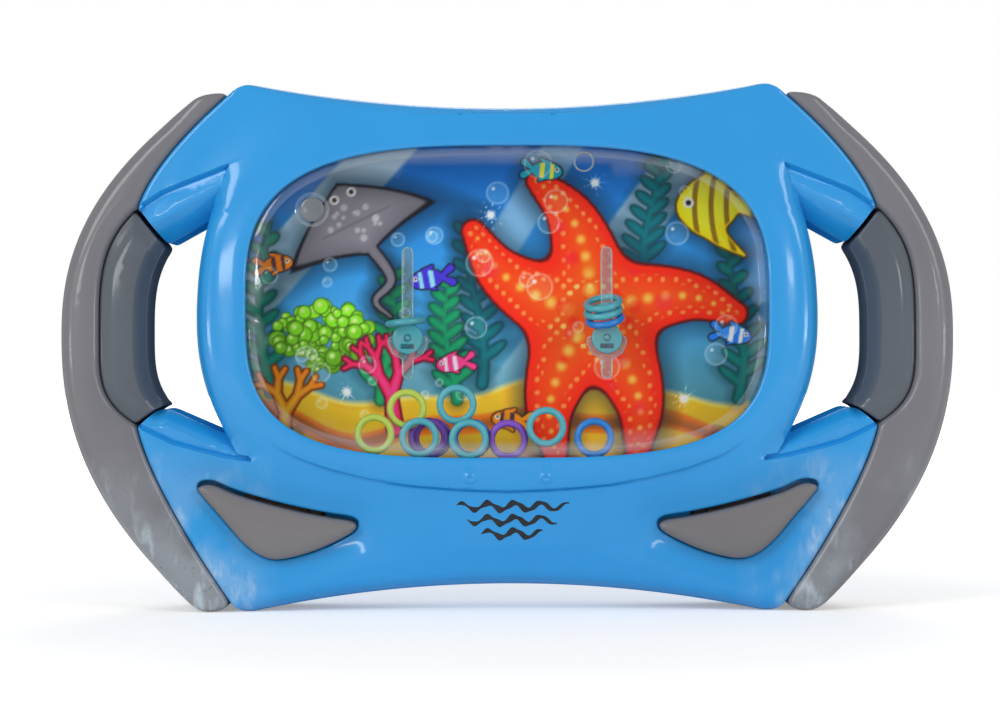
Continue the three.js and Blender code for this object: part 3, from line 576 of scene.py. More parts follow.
def plastic(name, colour, shade, roughness=0.25, wear=0.0, specular=0.5, grain=0.06, coat=0.0):
    # Moulded plastic: slow colour drift, uneven gloss, faint mould grain, and rubbed, dusty lower corners
    # under a painted pale reflection
    material, tree, shader = newMaterial(name)
    place = add(tree, "TexCoord")["Object"]
    base = mixedColour(tree, pattern(tree, place, "drift"), linear(*colour), linear(*shade))
    gloss = pattern(tree, place, "gloss", *(roughness * share for share in sheen["uneven"]))
    if wear:
        base, gloss = wornAndSheenedCorners(tree, place, base, gloss, wear)
    facing = add(tree, "LayerWeight")["Facing"]
    fill(tree, shader, {
        "Base Color": base, "Roughness": gloss, "Coat Roughness": sheen["coatRoughness"],
        "Specular IOR Level": spread(tree, facing, *sheen["fade"], specular, 0),
        "Coat Weight": spread(tree, facing, *sheen["fade"], coat, 0),
        "Normal": bumped(tree, place, sheen["grainScale"], grain),
    })
    return material


def clearPlastic(name, tint, body=0.003, edge=0.7, roughness=0.05, metal=0.6, rim=0.0, dark=None):
    # Clear plastic as a thin sheet: it shows what is behind, and shines more where the surface turns away.
    # The piece's "rim" attribute makes its edges paler and more opaque, a painted reflection, and its
    # attribute for painted shade lays down a deeper colour.
    material, tree, shader = newMaterial(name)
    place = add(tree, "TexCoord")["Object"]
    facing = add(tree, "Fresnel", {"IOR": clearSheet["ior"]})["Fac"]
    outside = combined(tree, "SUBTRACT", 1.0, add(tree, "NewGeometry")["Backfacing"])
    cover = times(tree, spread(tree, facing, *clearSheet["cover"], body, edge), outside)
    # Painted reflection: where the attribute is high, the sheet turns paler and more opaque
    if rim:
        slope = add(tree, "Attribute", attribute_name="rim")["Fac"]
        cover = combined(tree, "MAXIMUM", cover, times(tree, slope, rim))
    colour = linear(*tint)
    # Painted shade: the attribute mixes in a deeper colour
    if dark:
        sunk = add(tree, "Attribute", attribute_name="dark")["Fac"]
        colour = mixedColour(tree, sunk, colour, linear(*dark))
    haze = pattern(tree, place, "haze", *(roughness * share for share in clearSheet["uneven"]))
    fill(tree, shader, {"Alpha": cover, "Base Color": colour, "Metallic": metal, "Roughness": haze})
    return material


paints = dict(
    shell=plastic("blueShell", (38, 152, 221), (34, 147, 216), 0.2, wear=1.0, specular=0.35, coat=0.55),
    band=plastic("greyBand", (119, 118, 124), (111, 111, 117), 0.3, wear=0.7, specular=0.4, coat=0.35),
    grip=plastic("slateGrip", (88, 95, 104), (81, 88, 97), 0.3, specular=0.3, coat=0.45),
    button=plastic("buttonGrey", (119, 116, 117), (112, 109, 111), 0.34, specular=0.4, coat=0.5),
    plug=plastic("plugGrey", (112, 118, 124), (98, 104, 110), 0.2),
    teal=plastic("tealRing", (82, 172, 184), (70, 158, 172), 0.3, grain=0.02),
    lime=plastic("limeRing", (182, 204, 84), (168, 190, 72), 0.3, grain=0.02),
    purple=plastic("purpleRing", (128, 78, 190), (114, 66, 176), 0.3, grain=0.02),
    royal=plastic("royalRing", (36, 128, 208), (28, 114, 194), 0.3, grain=0.02),
    inner=plastic("innerGrey", (66, 70, 76), (56, 60, 66), 0.4),
    rubber=plastic("softRubber", (84, 82, 80), (72, 70, 68), 0.7, specular=0.3),
    # The pane's rim share pales its bevel and the plug's collar: a painted reflection
    pane=clearPlastic("clearPane", (226, 234, 238), edge=0.5, rim=0.28),
    clear=clearPlastic("clearTankWall", (235, 244, 248)),
    # The pegs' rim share is a painted highlight along the blades' edges
    peg=clearPlastic("clearPeg", (186, 228, 230), 0.2, 0.8, 0.1, metal=0.1, rim=0.5),
    # The disc's deeper colour is painted shade in its sunk marks and along its rim
    disc=clearPlastic("tealDisc", (72, 172, 184), 0.8, 0.95, 0.2, metal=0.0, dark=(14, 92, 112)),
    # The air bubble's pale colour is a painted reflection of its bright edge
    bubble=clearPlastic("airBubble", (205, 222, 232), 0.42, 0.9, 0.1, metal=0.0),
)
print("materials made")

# Case front

# Slopes and roundings are (width, depth), and spans are the two places that a smooth step runs between
caseFront = dict(
    seamRound=(1.1, 1.3), sideRound=(3.6, 5.5), highGapSlope=(6.2, 6.6), lowGapSlope=(3.6, 4.6), gapReach=6.5,
    foot=dict(slope=1.9, ends=1.4, middle=9.4, line=3.3, depth=3.6, more=0.6),
    top=dict(slope=1.6, ends=1.1, middle=2.7, line=1.2, depth=2.0, more=0.0),
    fall=3.3, fallSpan=(2.0, 25.0), footFall=0.5, footFallSpan=(40, 20), lip=1.3, lipRound=(0.7, 0.55),
    skin=0.9,
    step=1.25, stepSpan=(-0.55, 0.3), groove=0.45, grooveAt=0.1, grooveWidth=0.34,
    arc=[(59.6, 42.8), (51.9, 37.9), (42.8, 34.6), (33.7, 32.45), (24.5, 30.9), (12.4, 29.8), (0, 29.35)],
    arcEnds=(60, 46), arcStep=1.0, arcSpan=(-0.35, 0.25), arcFade=0.8, arcFadeSpan=(1, 14), arcGroove=0.5,
    arcWidth=0.45, highFade=(111, 94), lowFade=(35, 48), scoop=1.25, scoopReach=4.2, slotRound=(0.5, 0.4),
    latch=[(10.9, 37.2), (13.7, 30.8), (-13.7, 30.8), (-10.9, 37.2)], latchGroove=0.45, latchWidth=0.35,
    stud=dict(x=9.13, z=32.45, rise=0.3, edge=(1.55, 1.1), pit=0.25, pitEdge=(0.55, 0.25)),
)
# The stepped places on the arms, in shares of the half-width and height
stepShares = [(0.585, 0.855), (0.657, 0.832), (0.727, 0.81), (0.767, 0.796), (0.81, 0.772),
              (0.85, 0.7), (0.7, 0.62), (0.585, 0.72)]
lowStepShares = [(0.572, 0.4), (0.572, 0.289), (0.63, 0.296), (0.688, 0.308), (0.747, 0.322), (0.82, 0.352),
                 (0.87, 0.42)]
scale = np.array([body["half"], body["height"]])
highStep, lowStep = np.array(stepShares) * scale, np.array(lowStepShares) * scale
highGroove = resampled(highStep[:5], 0.5, closed=False)
lowGroove = resampled(lowStep[1:6], 0.5, closed=False)
arc = resampled(np.array(caseFront["arc"]), 0.8, closed=False)
bezelLine = bezelOutline()
windowLine = windowOutline(0)


def pastGap(side, z, bezelEnd, gripEnd, up):
    # Signed distance to an arm's edge at the finger gap, drawn on into the bezel: negative past the edge
    run = (bezelEnd - gripEnd) / np.linalg.norm(bezelEnd - gripEnd)
    end = bezelEnd + run * caseFront["gapReach"]
    cross = (z - gripEnd[1]) * run[0] - (side - gripEnd[0]) * run[1]
    beyond = (cross * up > 0) & (side > end[0]) & ((z - body["windowMiddle"]) * up > 0)
    return away(side, z, np.array([end, gripEnd]), closed=False) * np.where(beyond, -1, 1)


def grooved(distance, depth, width):
    # A round-bottomed groove along a line: depth times e to the minus square of distance over width
    return depth * np.exp(-(distance / width) ** 2)


def drawnIn(distance, share, edge):
    # An even slope whose width and depth grow with the share, over a rounded quarter along the edge
    width = edge["ends"] + (edge["middle"] - edge["ends"]) * share
    slope = edge["slope"] * (1 - np.clip(distance / width, 0, 1)) * share
    return slope + roundOff(distance, edge["line"], edge["depth"] + edge["more"] * share)


def edgeDrops(side, z):
    # How far the arms and edges have dropped: the most that any of the case's outer lines asks for
    c = caseFront

    def off(line):
        return away(side, z, line, closed=False)

    armEdge, gripEnd, bezelEnd = parts["lowGap"]
    lowGap = np.minimum(pastGap(side, z, bezelEnd, gripEnd, -1), off(np.array([armEdge, gripEnd])))
    share = 1 - np.clip(side / edgeEnd, 0, 1) ** 2
    return np.max([
        roundOff(off(parts["lowSeam"]), *c["seamRound"]), roundOff(off(parts["highSeam"]), *c["seamRound"]),
        sloped(pastGap(side, z, *parts["highGap"], 1), *c["highGapSlope"]), sloped(lowGap, *c["lowGapSlope"]),
        drawnIn(off(np.vstack([parts["foot"], parts["land"]])), share, c["foot"]),
        drawnIn(off(parts["top"]), share, c["top"]),
    ], axis=0)


def latchMarks(side, z):
    # A fine groove round the latch's plate, and a raised stud with a pit
    c, stud = caseFront, caseFront["stud"]
    reach, foot = c["latch"][1]
    line = np.minimum(away(side, z, np.array(c["latch"][:2]), closed=False),
                      np.where(side < reach, np.abs(z - foot), 9))
    far = np.hypot(side - stud["x"], z - stud["z"])
    return (stud["rise"] * ramp(far, *stud["edge"]) - stud["pit"] * ramp(far, *stud["pitEdge"])
            - grooved(line, c["latchGroove"], c["latchWidth"]))


def frontHeight(x, z):
    # The front face as a height over the split. It falls gently from the window's rim to the case's edges,
    # drops in rounded quarters there, steps down past the arms' grooves and dips round the buttons.
    c, side = caseFront, np.abs(x)
    fromWindow = away(x, z, windowLine)
    h = body["lip"] - c["fall"] * ramp(fromWindow, *c["fallSpan"])
    h = h - c["footFall"] * ramp(z, *c["footFallSpan"])
    arcShare = ramp(side, *c["arcEnds"])
    under = z < np.interp(side, arc[::-1, 0], arc[::-1, 1])
    below = away(side, z, arc, closed=False) * np.where(under, 1, -1)
    fade = 1 - c["arcFade"] * ramp(below, *c["arcFadeSpan"])
    h = h - c["arcStep"] * arcShare * ramp(below, *c["arcSpan"]) * fade
    bezel = depthIn(side, z, bezelLine)
    rim = h - roundOff(bezel, *c["sideRound"]) * ramp(z, *c["highFade"]) * ramp(z, *c["lowFade"])
    arms = h - grooved(below, c["arcGroove"] * arcShare, c["arcWidth"])
    for line, shape in ((highGroove, highStep), (lowGroove, lowStep)):
        past = away(side, z, line, closed=False) * np.where(within(side, z, shape), 1, -1)
        arms = arms - c["step"] * ramp(past, *c["stepSpan"])
        arms = arms - grooved(past - c["grooveAt"], c["groove"], c["grooveWidth"])
    dip = np.min([away(x, z, line) for line in slotLines], axis=0)
    arms = arms - edgeDrops(side, z) + latchMarks(side, z)
    arms = arms - grooved(dip, c["scoop"], c["scoopReach"]) - roundOff(dip, *c["slotRound"])
    return -(np.where(bezel > 0, np.maximum(arms, rim), arms) - roundOff(fromWindow, *c["lipRound"]))


def frontInside(x, z):
    # The wall's inner side: at the split along the edges, a thin lip over the tank, and a skin elsewhere
    lipEnd = tank["play"] + tank["wall"] + body["gap"]
    inner = np.where(away(x, z, windowLine) < lipEnd, -body["lip"] + caseFront["lip"], -body["skin"])
    inner = np.maximum(inner, frontHeight(x, z) + caseFront["skin"])
    return np.where(away(x, z, bodyOutline) < body["wall"], -body["split"], inner)


slotLines = [buttonOutline(sign, buttonShape["slot"]) for sign in (-1, 1)]
studRings = np.vstack([circle(caseFront["stud"]["x"], caseFront["stud"]["z"], radius, 20)
                       for radius in (0.2, 0.4, 0.6, 1.1, 1.35, 1.6)])
stepRows = (-1.0, -0.55, -0.2, 0.0, 0.2, 0.5, 1.0)
caseFrontPiece = plate(
    "caseFront", bodyOutline, [windowLine, *slotLines], frontHeight, frontInside,
    (0.08, 0.25, 0.5, 0.9, 1.5, 2.4, 3.6, 5.2), 1.35, paints["shell"],
    features=[rows for line, offsets, closed in (
        (highGroove, stepRows, False), (lowGroove, stepRows, False),
        (bezelLine, (-0.12, 0.06, 0.25, 0.55, 1.0, 1.7, 2.5, 3.4), True),
        (arc, (-0.9, -0.4, -0.1, 0.2, 0.6), False),
        (resampled(np.array(caseFront["latch"][:3]), 0.35, False), (-0.5, -0.2, 0.0, 0.2, 0.5), False),
        (studRings, (0.0,), True),
    ) for rows in bothSides(beside(line, offsets, closed))],
)
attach(caseFrontPiece, "case")
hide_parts("front_shell")
print("case front made", len(caseFrontPiece.data.polygons))

# Plain printed waves under the window, bare of any lettering

waves = dict(lines=[(-12.5, 15.0, 25.6), (-10.0, 12.0, 22.2), (-6.5, 8.5, 18.9)], swing=0.85, length=6.4,
             width=0.95, uneven=0.25, unevenPace=2.1, taper=0.35, lift=0.035, sink=0.05, along=90, across=5)


def waveStrip(start, end, height):
    # A ribbon that follows a sine across the panel, narrowing to nothing at both ends, laid on the front face
    w = waves
    t = np.linspace(0, 1, w["along"])[:, None]
    side = np.linspace(-1, 1, w["across"])[None]
    x = start + (end - start) * t + 0 * side
    brush = 1 - w["uneven"] + w["uneven"] * np.sin(x * w["unevenPace"])
    half = w["width"] * np.sin(math.pi * t) ** w["taper"] * brush
    z = height + w["swing"] * np.sin(2 * math.pi * x / w["length"]) + half * side
    return x, frontHeight(x.ravel(), z.ravel()).reshape(x.shape), z


strips, stripFaces = [], []
sheet = np.arange(waves["along"] * waves["across"]).reshape(waves["along"], waves["across"])
for rank, ends in enumerate(waves["lines"]):
    x, y, z = waveStrip(*ends)
    strips += [metres(x, y - lift, z).reshape(-1, 3) for lift in (waves["lift"], -waves["sink"])]
    top = gridFaces(*sheet.shape) + 2 * rank * sheet.size
    ring = border(sheet.T) + 2 * rank * sheet.size
    wall = np.stack([ring, ring + sheet.size, np.roll(ring, -1) + sheet.size, np.roll(ring, -1)], axis=1)
    stripFaces += [top, top[:, ::-1] + sheet.size, wall]
waveInk, tree, shader = newMaterial("waveInk")
wornInk = pattern(tree, add(tree, "TexCoord")["Object"], "ink")
inkColour = mixedColour(tree, wornInk, linear(14, 16, 20), linear(34, 38, 46))
fill(tree, shader, {"Base Color": inkColour, "Roughness": 0.4})
wavePrint = cleaned(putMesh("wavePrint", np.vstack(strips), stripFaces, waveInk))
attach(wavePrint, "case")
print("waves printed")

# Case rear

screwSpots = [(sign * x * body["half"], z * body["height"]) for sign in (-1, 1)
              for x, z in ((0.72, 0.816), (0.74, 0.281), (0.478, 0.913), (0.165, 0.14))]
screwHole = dict(radius=2.7, boss=4.2, rim=(0.5, 0.4))
screwHoles = [circle(x, z, screwHole["radius"]) for x, z in screwSpots]
caseRear = dict(edgeRound=(2.2, 4.5), ovalRound=(3.2, 4.2), fillet=0.3, filletReach=1.2,
                ovalRows=(0.1, 0.3, 0.5, 0.8, 1.1, 1.5, 2.0, 2.6, 3.2), outerRows=(0.1, 0.5, 1.1, 2.0, 3.2))


def fromScrews(x, z):
    # Distance to the nearest screw's centre
    return np.min([np.hypot(x - a, z - b) for a, b in screwSpots], axis=0)


def rearHeight(x, z):
    # The back: a flat panel with rounded edges and a raised oval, with a fillet where they come near
    side, edge = np.abs(x), roundOff(away(x, z, bodyOutline), *caseRear["edgeRound"])
    oval = depthIn(side, z, bezelLine)
    panel = body["panel"] - edge
    raised = np.where(oval > 0, body["lip"] - roundOff(oval, *caseRear["ovalRound"]), 0) - edge
    near = np.clip(1 - np.abs(panel - raised) / caseRear["filletReach"], 0, 1)
    joined = np.maximum(panel, raised) + caseRear["fillet"] * near ** 2
    return joined - roundOff(fromScrews(x, z) - screwHole["radius"], *screwHole["rim"])


def rearInside(x, z):
    # At the split along the edges and at the screws' bosses, and a skin elsewhere
    solid = (away(x, z, bodyOutline) < body["wall"]) | (fromScrews(x, z) < screwHole["boss"])
    return np.where(solid, body["split"], body["skin"])


ovalRows = [*(-row for row in reversed(caseRear["ovalRows"])), *caseRear["outerRows"]]
caseRearPiece = plate(
    "caseRear", bodyOutline, screwHoles, rearInside, rearHeight, (0.1, 0.35, 0.8, 1.5, 2.4), 2.4,
    paints["shell"], features=bothSides(beside(bezelLine, ovalRows)),
)
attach(caseRearPiece, "case")
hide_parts("rear_shell")
print("case rear made", len(caseRearPiece.data.polygons))

# Handles and grips

handle = dict(
    half=13.0, outerRound=(3.4, 5.2), seamRound=(1.4, 1.5), crown=0.35, crownSpan=(0, 4.5), noseSpan=(1, 12),
    noseShare=0.35, nose=[(1.56, 0.77), (3.51, 0.1), (7.8, 0.0)], highNose=3.9, seamGap=0.12, gripGap=0.08,
)
grip = dict(half=11.5, innerSlope=(2.8, 3.6), innerShares=(0.40, 0.69), seamRound=(0.6, 0.6), crown=0.5,
            crownSpan=(0, 3.5), bandGap=0.06, endShare=0.006, armLift=0.45)
sideRows = (0.07, 0.22, 0.45, 0.8, 1.3, 2.0, 2.8, 3.7)
lowNose = np.array(handle["nose"]) + [corner, 0]
noseLevel = (level["bandTop"] + level["seamTop"]) / 2 * body["height"] + body["gap"]
outerLine = np.vstack([lowNose, along("outer", level["foot"], level["bandTop"], 120),
                       [[corner + handle["highNose"], noseLevel]]])
bandOutline = softened(np.vstack([
    outerLine, along("highSeam", level["seamTop"], level["bandHigh"], 50, handle["seamGap"]),
    along("band", level["bandHigh"], level["bandLow"], 80, handle["gripGap"])[1:-1],
    along("lowSeam", level["bandLow"], level["foot"], 50, handle["seamGap"]),
]), spacing=0.6, reach=1.2, cornerReach=3.6)
end = grip["endShare"]
gripOutline = softened(np.vstack([
    along("band", level["bandLow"] + end, level["bandHigh"] - end, 80, -grip["bandGap"]),
    along("grip", level["gripHigh"] - end, level["gripLow"] + end, 60), armEnd + [0, grip["armLift"]],
]), spacing=0.5, reach=0.9)
gripInnerLine = along("grip", *grip["innerShares"], 60)


def bandHeight(x, z):
    # A broad face, rounded more along the outer side than along the seams, dying away into its two noses
    side = np.abs(x)
    edge = away(side, z, bandOutline)
    (width, depth), least = handle["outerRound"], handle["noseShare"]
    soft = least + (1 - least) * ramp(np.minimum(z, body["height"] - z), *handle["noseSpan"])
    outer = roundOff(away(side, z, outerLine, closed=False), width * soft, depth * soft)
    drop = np.maximum(outer, roundOff(edge, *handle["seamRound"]))
    return handle["half"] - drop - handle["crown"] * (1 - ramp(edge, *handle["crownSpan"]))


def gripHeight(x, z):
    # A crowned face that slopes away towards the finger gap and is rounded along its seams
    side = np.abs(x)
    edge = away(side, z, gripOutline)
    inner = sloped(away(side, z, gripInnerLine, closed=False), *grip["innerSlope"])
    drop = np.maximum(inner, roundOff(edge, *grip["seamRound"]))
    return grip["half"] - drop - grip["crown"] * (1 - ramp(edge, *grip["crownSpan"]))


for side, sign in (("left", -1), ("right", 1)):
    band = plate(side + "Band", onSide(bandOutline, sign), [], lambda x, z: -bandHeight(x, z), bandHeight,
                 sideRows, 1.7, paints["band"])
    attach(band, "case")
    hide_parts(side + "_handle")
    inset = plate(side + "Grip", onSide(gripOutline, sign), [], lambda x, z: -gripHeight(x, z), gripHeight,
                  sideRows, 1.5, paints["grip"])
    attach(inset, "case")
    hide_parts(side + "_grip")
print("handles made")

# Buttons


def buttonHeight(x, z, line):
    # Soft quarter-round edges and a slightly crowned top
    b, edge = buttonShape, away(x, z, line)
    crown = b["crown"] * (1 - ramp(edge, *b["crownSpan"]))
    return -(b["front"] - crown - roundOff(edge, b["edge"], b["drop"]))


for side, sign in (("left", -1), ("right", 1)):
    line = buttonOutline(sign)
    button = plate(side + "Button", line, [], lambda x, z: buttonHeight(x, z, line),
                   flatAt(-buttonShape["back"]), (0.06, 0.2, 0.42, 0.75, 1.2, 1.8, 2.6), 1.2, paints["button"])
    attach(button, side + "_button_body")
    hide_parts(side + "_button")
print("buttons made")

# Clear tank, filler plug and air bubble

trayLine = windowOutline(tank["play"] + tank["wall"])
waterLine = windowOutline(tank["play"])
paneLine = windowOutline(-body["gap"])
pane = dict(bevel=2.0, foot=-14.56, rimSoft=0.4)
plug = dict(share=(-0.744, 0.592), radius=2.9, play=0.3, collar=3.9, collarSoft=(0.1, 0.4),
            collarWidth=0.3, collarRings=(3.5, 3.95, 4.3), rise=0.45, sunk=0.3, dome=0.45,
            domePowers=(2.4, 1.2), stem=2.2, depth=3.2)
plugX = plug["share"][0] * body["windowReach"]
plugZ = body["windowMiddle"] + plug["share"][1] * body["windowHalf"]
plugHole = circle(plugX, plugZ, plug["radius"] + plug["play"])


def paneFace(x, z):
    # The tray's face under the lip, and the raised window pane with its sloped edge
    up = depthIn(x, z, paneLine)
    slope = pane["foot"] + (tank["paneFront"] - pane["foot"]) * np.clip(up / pane["bevel"], 0, 1)
    outer, inner = plug["collarSoft"]
    collar = ramp(np.hypot(x - plugX, z - plugZ), plug["collar"] + outer, plug["collar"] - inner)
    return np.where(up > 0, slope, tank["front"]) - plug["rise"] * collar


def trayInside(x, z):
    # The water space behind the pane, inside the tray's wall
    return np.where(depthIn(x, z, waterLine) > 0.1, tank["waterFront"], tank["waterBack"])


clearTank = plate(
    "clearTank", trayLine, [plugHole], paneFace, trayInside, (0.2, 0.8), 4.0, paints["pane"], sharp=20,
    features=[beside(paneLine, (-0.02, 0.05, 0.6)),
              beside(windowOutline(-body["gap"] - pane["bevel"]), (-0.1, 0.1)),
              beside(waterLine, (-0.1, 0.12)),
              *(circle(plugX, plugZ, radius) for radius in plug["collarRings"])],
)
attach(clearTank, "case")
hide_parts("tank_front")


def panePaintedSheen(x, y, z):
    # Painted reflection, made paler and more opaque: the pane's bevel and the plug's collar, on the front only
    inward = depthIn(x, z, paneLine)
    bevel = ramp(inward, -0.1, 0.2) * ramp(inward, pane["bevel"] + pane["rimSoft"], pane["bevel"] - 0.1)
    far = np.hypot(x - plugX, z - plugZ)
    collar = np.exp(-((far - plug["collar"]) / plug["collarWidth"]) ** 2) + 0.5 * (far < plug["collar"])
    return np.maximum(bevel, collar) * (y < tank["waterFront"] - 0.2)


marked(clearTank, "rim", panePaintedSheen)

face, stem, edge = tank["paneFront"] - plug["sunk"], plug["stem"], plug["radius"]
end = face + plug["depth"]
t = np.linspace(0, 1, 14)
dome = [edge * np.sqrt(1 - t ** plug["domePowers"][0]), face - plug["dome"] * t ** plug["domePowers"][1]]
plugProfile = [[0, end], [stem, end], [stem, face + 0.1], [edge - 0.02, face + 0.02], *np.stack(dome, axis=1)]
plugPiece = revolved("fillerPlug", plugProfile, plugX, plugZ, paints["plug"])
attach(plugPiece, "case")
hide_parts("filler_plug")

bubble = dict(x=18.7, z=109.1, y=-11.6, radius=2.3, section=0.24, deep=2.2, pressed=0.1)
# Only the bubble's bright rim is seen, so it is a ring whose pale colour is a painted reflection: (R + s sin
# t, y + s d cos t) swept round
t = np.linspace(0, 2 * math.pi, 17)
bubbleRim = np.stack([bubble["radius"] + bubble["section"] * np.sin(t),
                      bubble["y"] + bubble["section"] * bubble["deep"] * np.cos(t)], axis=1)
bubblePiece = revolved("airBubble", bubbleRim, bubble["x"], bubble["z"], paints["bubble"])
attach(bubblePiece, "case")
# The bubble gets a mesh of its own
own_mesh(bubblePiece)
print("tank made")

# Pegs

peg = dict(spread=24.4, y=-5.25, thick=1.6, blade=(56.3, 88.8, 2.9), plateLow=61.33, plate=(5.05, 5.5),
           plateShares=[(0.33, 0), (0.77, 0.22), (1, 0.75), (0.9, 1)], edgeRound=(0.5, 0.4),
           disc=66.23, discRadius=3.8, discFront=-7.13, discBack=-6.16,
           pin=0.75, pinLift=0.2, pinSunk=0.25, slot=(1.55, 0.5, 1.9), slotSunk=0.4)


def pegOutline(x):
    # An upright blade with round ends, widened by an eight-sided plate below its middle
    low, high, width = peg["blade"]
    (wide, tall), foot, half = peg["plate"], peg["plateLow"], width / 2
    bend = np.linspace(0, math.pi, 12)
    right = [(half, foot), *((wide * a, foot + tall * b) for a, b in peg["plateShares"]), (half, foot + tall)]
    cap = half * np.stack([np.cos(bend), np.sin(bend)], axis=1)
    left = [(-a, b) for a, b in right[::-1]]
    line = np.vstack([[0, low + half] - cap, right, [0, high - half] + cap, left])
    return softened(line + [x, 0], spacing=0.25, reach=0.35)


def discMarks(x, z, x0):
    # Distances to the pin's ring and to the slot below it
    wide, tall, drop = peg["slot"]
    pin = np.abs(np.hypot(x - x0, z - peg["disc"] - peg["pinLift"]) - peg["pin"])
    return pin, np.maximum(np.abs(x - x0) - wide, np.abs(z - peg["disc"] + drop) - tall)


for side, sign in (("left", -1), ("right", 1)):
    x0 = sign * peg["spread"]
    line = pegOutline(x0)
    disc = circle(x0, peg["disc"], peg["discRadius"], 64)

    def bladeFace(x, z):
        # How far the blade's faces stand from its middle, rounded along the edge
        return peg["thick"] / 2 - roundOff(away(x, z, line), *peg["edgeRound"])

    def discFace(x, z):
        # A rounded disc with a sunk ring round its pin, above a sunk slot
        pin, slot = discMarks(x, z, x0)
        sunk = np.maximum(peg["pinSunk"] * ramp(pin, 0.3, 0.1), peg["slotSunk"] * ramp(slot, 0.12, -0.12))
        return peg["discFront"] + roundOff(away(x, z, disc), *peg["edgeRound"]) + sunk

    def discPaintedShade(x, y, z):
        # Painted shade: a deeper colour in the sunk marks, and a little along the rim
        pin, slot = discMarks(x, z, x0)
        rim = ramp(away(x, z, disc), 0.3, 0.05)
        return np.max([0.75 * ramp(pin, 0.35, 0.1), ramp(slot, 0.15, -0.15), 0.3 * rim], axis=0)

    blade = plate(side + "PegBlade", line, [], lambda x, z: peg["y"] - bladeFace(x, z),
                  lambda x, z: peg["y"] + bladeFace(x, z), (0.06, 0.2, 0.45), 0.9, paints["peg"])
    # Painted highlight: the blade's edges are made paler and more opaque
    marked(blade, "rim", lambda x, y, z: ramp(away(x, z, line), 0.4, 0.05))
    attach(blade, "case")
    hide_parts(side + "_peg")
    boss = plate(side + "PegDisc", disc, [], discFace, flatAt(peg["discBack"]), (0.06, 0.18, 0.4), 0.3,
                 paints["disc"])
    marked(boss, "dark", discPaintedShade)
    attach(boss, "case")
    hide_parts(side + "_peg_boss")
print("pegs made")

# Rings

ring = dict(radius=4.05, section=0.85, around=56, across=20, tilt=dict(left=6.0, right=9.0), lean=20.0)
fallen = ["lime", "lime", "teal", "purple", "purple", "teal", "teal", "royal", "purple", "teal", "royal"]
finishes = {f"fallen_ring_{i + 1}": finish for i, finish in enumerate(fallen)}
finishes.update(left_peg_ring="teal")
finishes.update(right_peg_ring_1="royal", right_peg_ring_2="teal", right_peg_ring_3="teal")


def torus(radius, section, around, across):
    # A ring about z: a small circle swept round a larger one
    u = np.linspace(0, 2 * math.pi, around, endpoint=False)[:, None]
    v = np.linspace(0, 2 * math.pi, across, endpoint=False)[None]
    reach = radius + section * np.cos(v)
    return reach * np.cos(u), reach * np.sin(u), section * np.sin(v) + 0 * u


def turned(a, b, degrees):
    # Two coordinates turned about the third
    c, s = math.cos(math.radians(degrees)), math.sin(math.radians(degrees))
    return a * c - b * s, a * s + b * c


for node, finish in finishes.items():
    x, y, z = torus(ring["radius"], ring["section"], ring["around"], ring["across"])
    side = node.split("_")[0]
    if side == "fallen":
        y, z = -z, y
    else:
        x, z = turned(x, z, ring["tilt"][side])
    if side == "right":
        y, z = turned(y, z, ring["lean"])
    centre = sum(np.array(end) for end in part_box(node)) / (2 * metre)
    name = "".join(word.capitalize() if i else word for i, word in enumerate(node.split("_")))
    points = metres(x + centre[0], y + centre[1], z + centre[2]).reshape(-1, 3)
    piece = cleaned(putMesh(name, points, gridFaces(*x.shape, True, True), paints[finish]))
    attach(piece, node + "_body")
    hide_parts(node)
print("rings made")

# Printed card behind the water

# ink is a gain on the print's colours, a painted brightening that makes up for the dimmer light in the tank
card = dict(columns=396, rows=238, endShare=0.995, ink=1.34, depth=1.25)


def cardGrid():
    # Rows across the card, each drawn in to the outline's half-width at its height
    up = np.linspace(-card["endShare"], card["endShare"], card["rows"])
    high, reach = (body[name] + tank["play"] + tank["wall"] for name in ("windowHalf", "windowReach"))
    power = np.where(up > 0, body["upperPower"], body["lowerPower"])
    half = reach * (1 - np.abs(up) ** power) ** (1 / power)
    x = np.linspace(-1, 1, card["columns"])[None] * half[:, None]
    return x, np.broadcast_to(body["windowMiddle"] + up[:, None] * high, x.shape)


# The print is an underwater scene of the builder's own: sea star, ray, angel fish, corals, weed and bubbles.
# Every motif is a signed distance over the card, and paint lays its colour down where that is negative.
cardX, cardZ = cardGrid()
artX, artZ = cardX, cardZ - body["windowMiddle"]
art = np.zeros((*cardX.shape, 3))
dice = np.random.default_rng(11)
shadow = (8, 30, 44)


def filled(distance, soft=0.2):
    # 1 inside, 0 outside, with an edge as soft as a print's
    return np.clip(0.5 - distance / (2 * soft), 0, 1)


def paint(mask, colour):
    # The print moves towards a colour by the mask's share
    art[:] = art + (np.array(colour) / 255 - art) * np.asarray(mask)[..., None]


def layers(shape, *rows):
    # Colours one over another, each grown by an amount, with its own softness and share
    for grown, soft, share, colour in rows:
        paint(share * filled(shape - grown, soft), colour)


def toned(colour, share, more=0):
    # A colour times a share, plus an even amount
    return np.minimum(share * np.array(colour) + more, 255)


def dot(x, z):
    # Distance to a point
    return np.hypot(artX - x, artZ - z)


def oval(cx, cz, wide, tall, turn=0.0):
    # First-order distance to a turned ellipse
    u, v = turned(artX - cx, artZ - cz, -turn)
    u, v = u / wide, v / tall
    k = np.hypot(u, v) + 1e-9
    return (k - 1) * k / np.sqrt((u / wide) ** 2 + (v / tall) ** 2 + 1e-9)


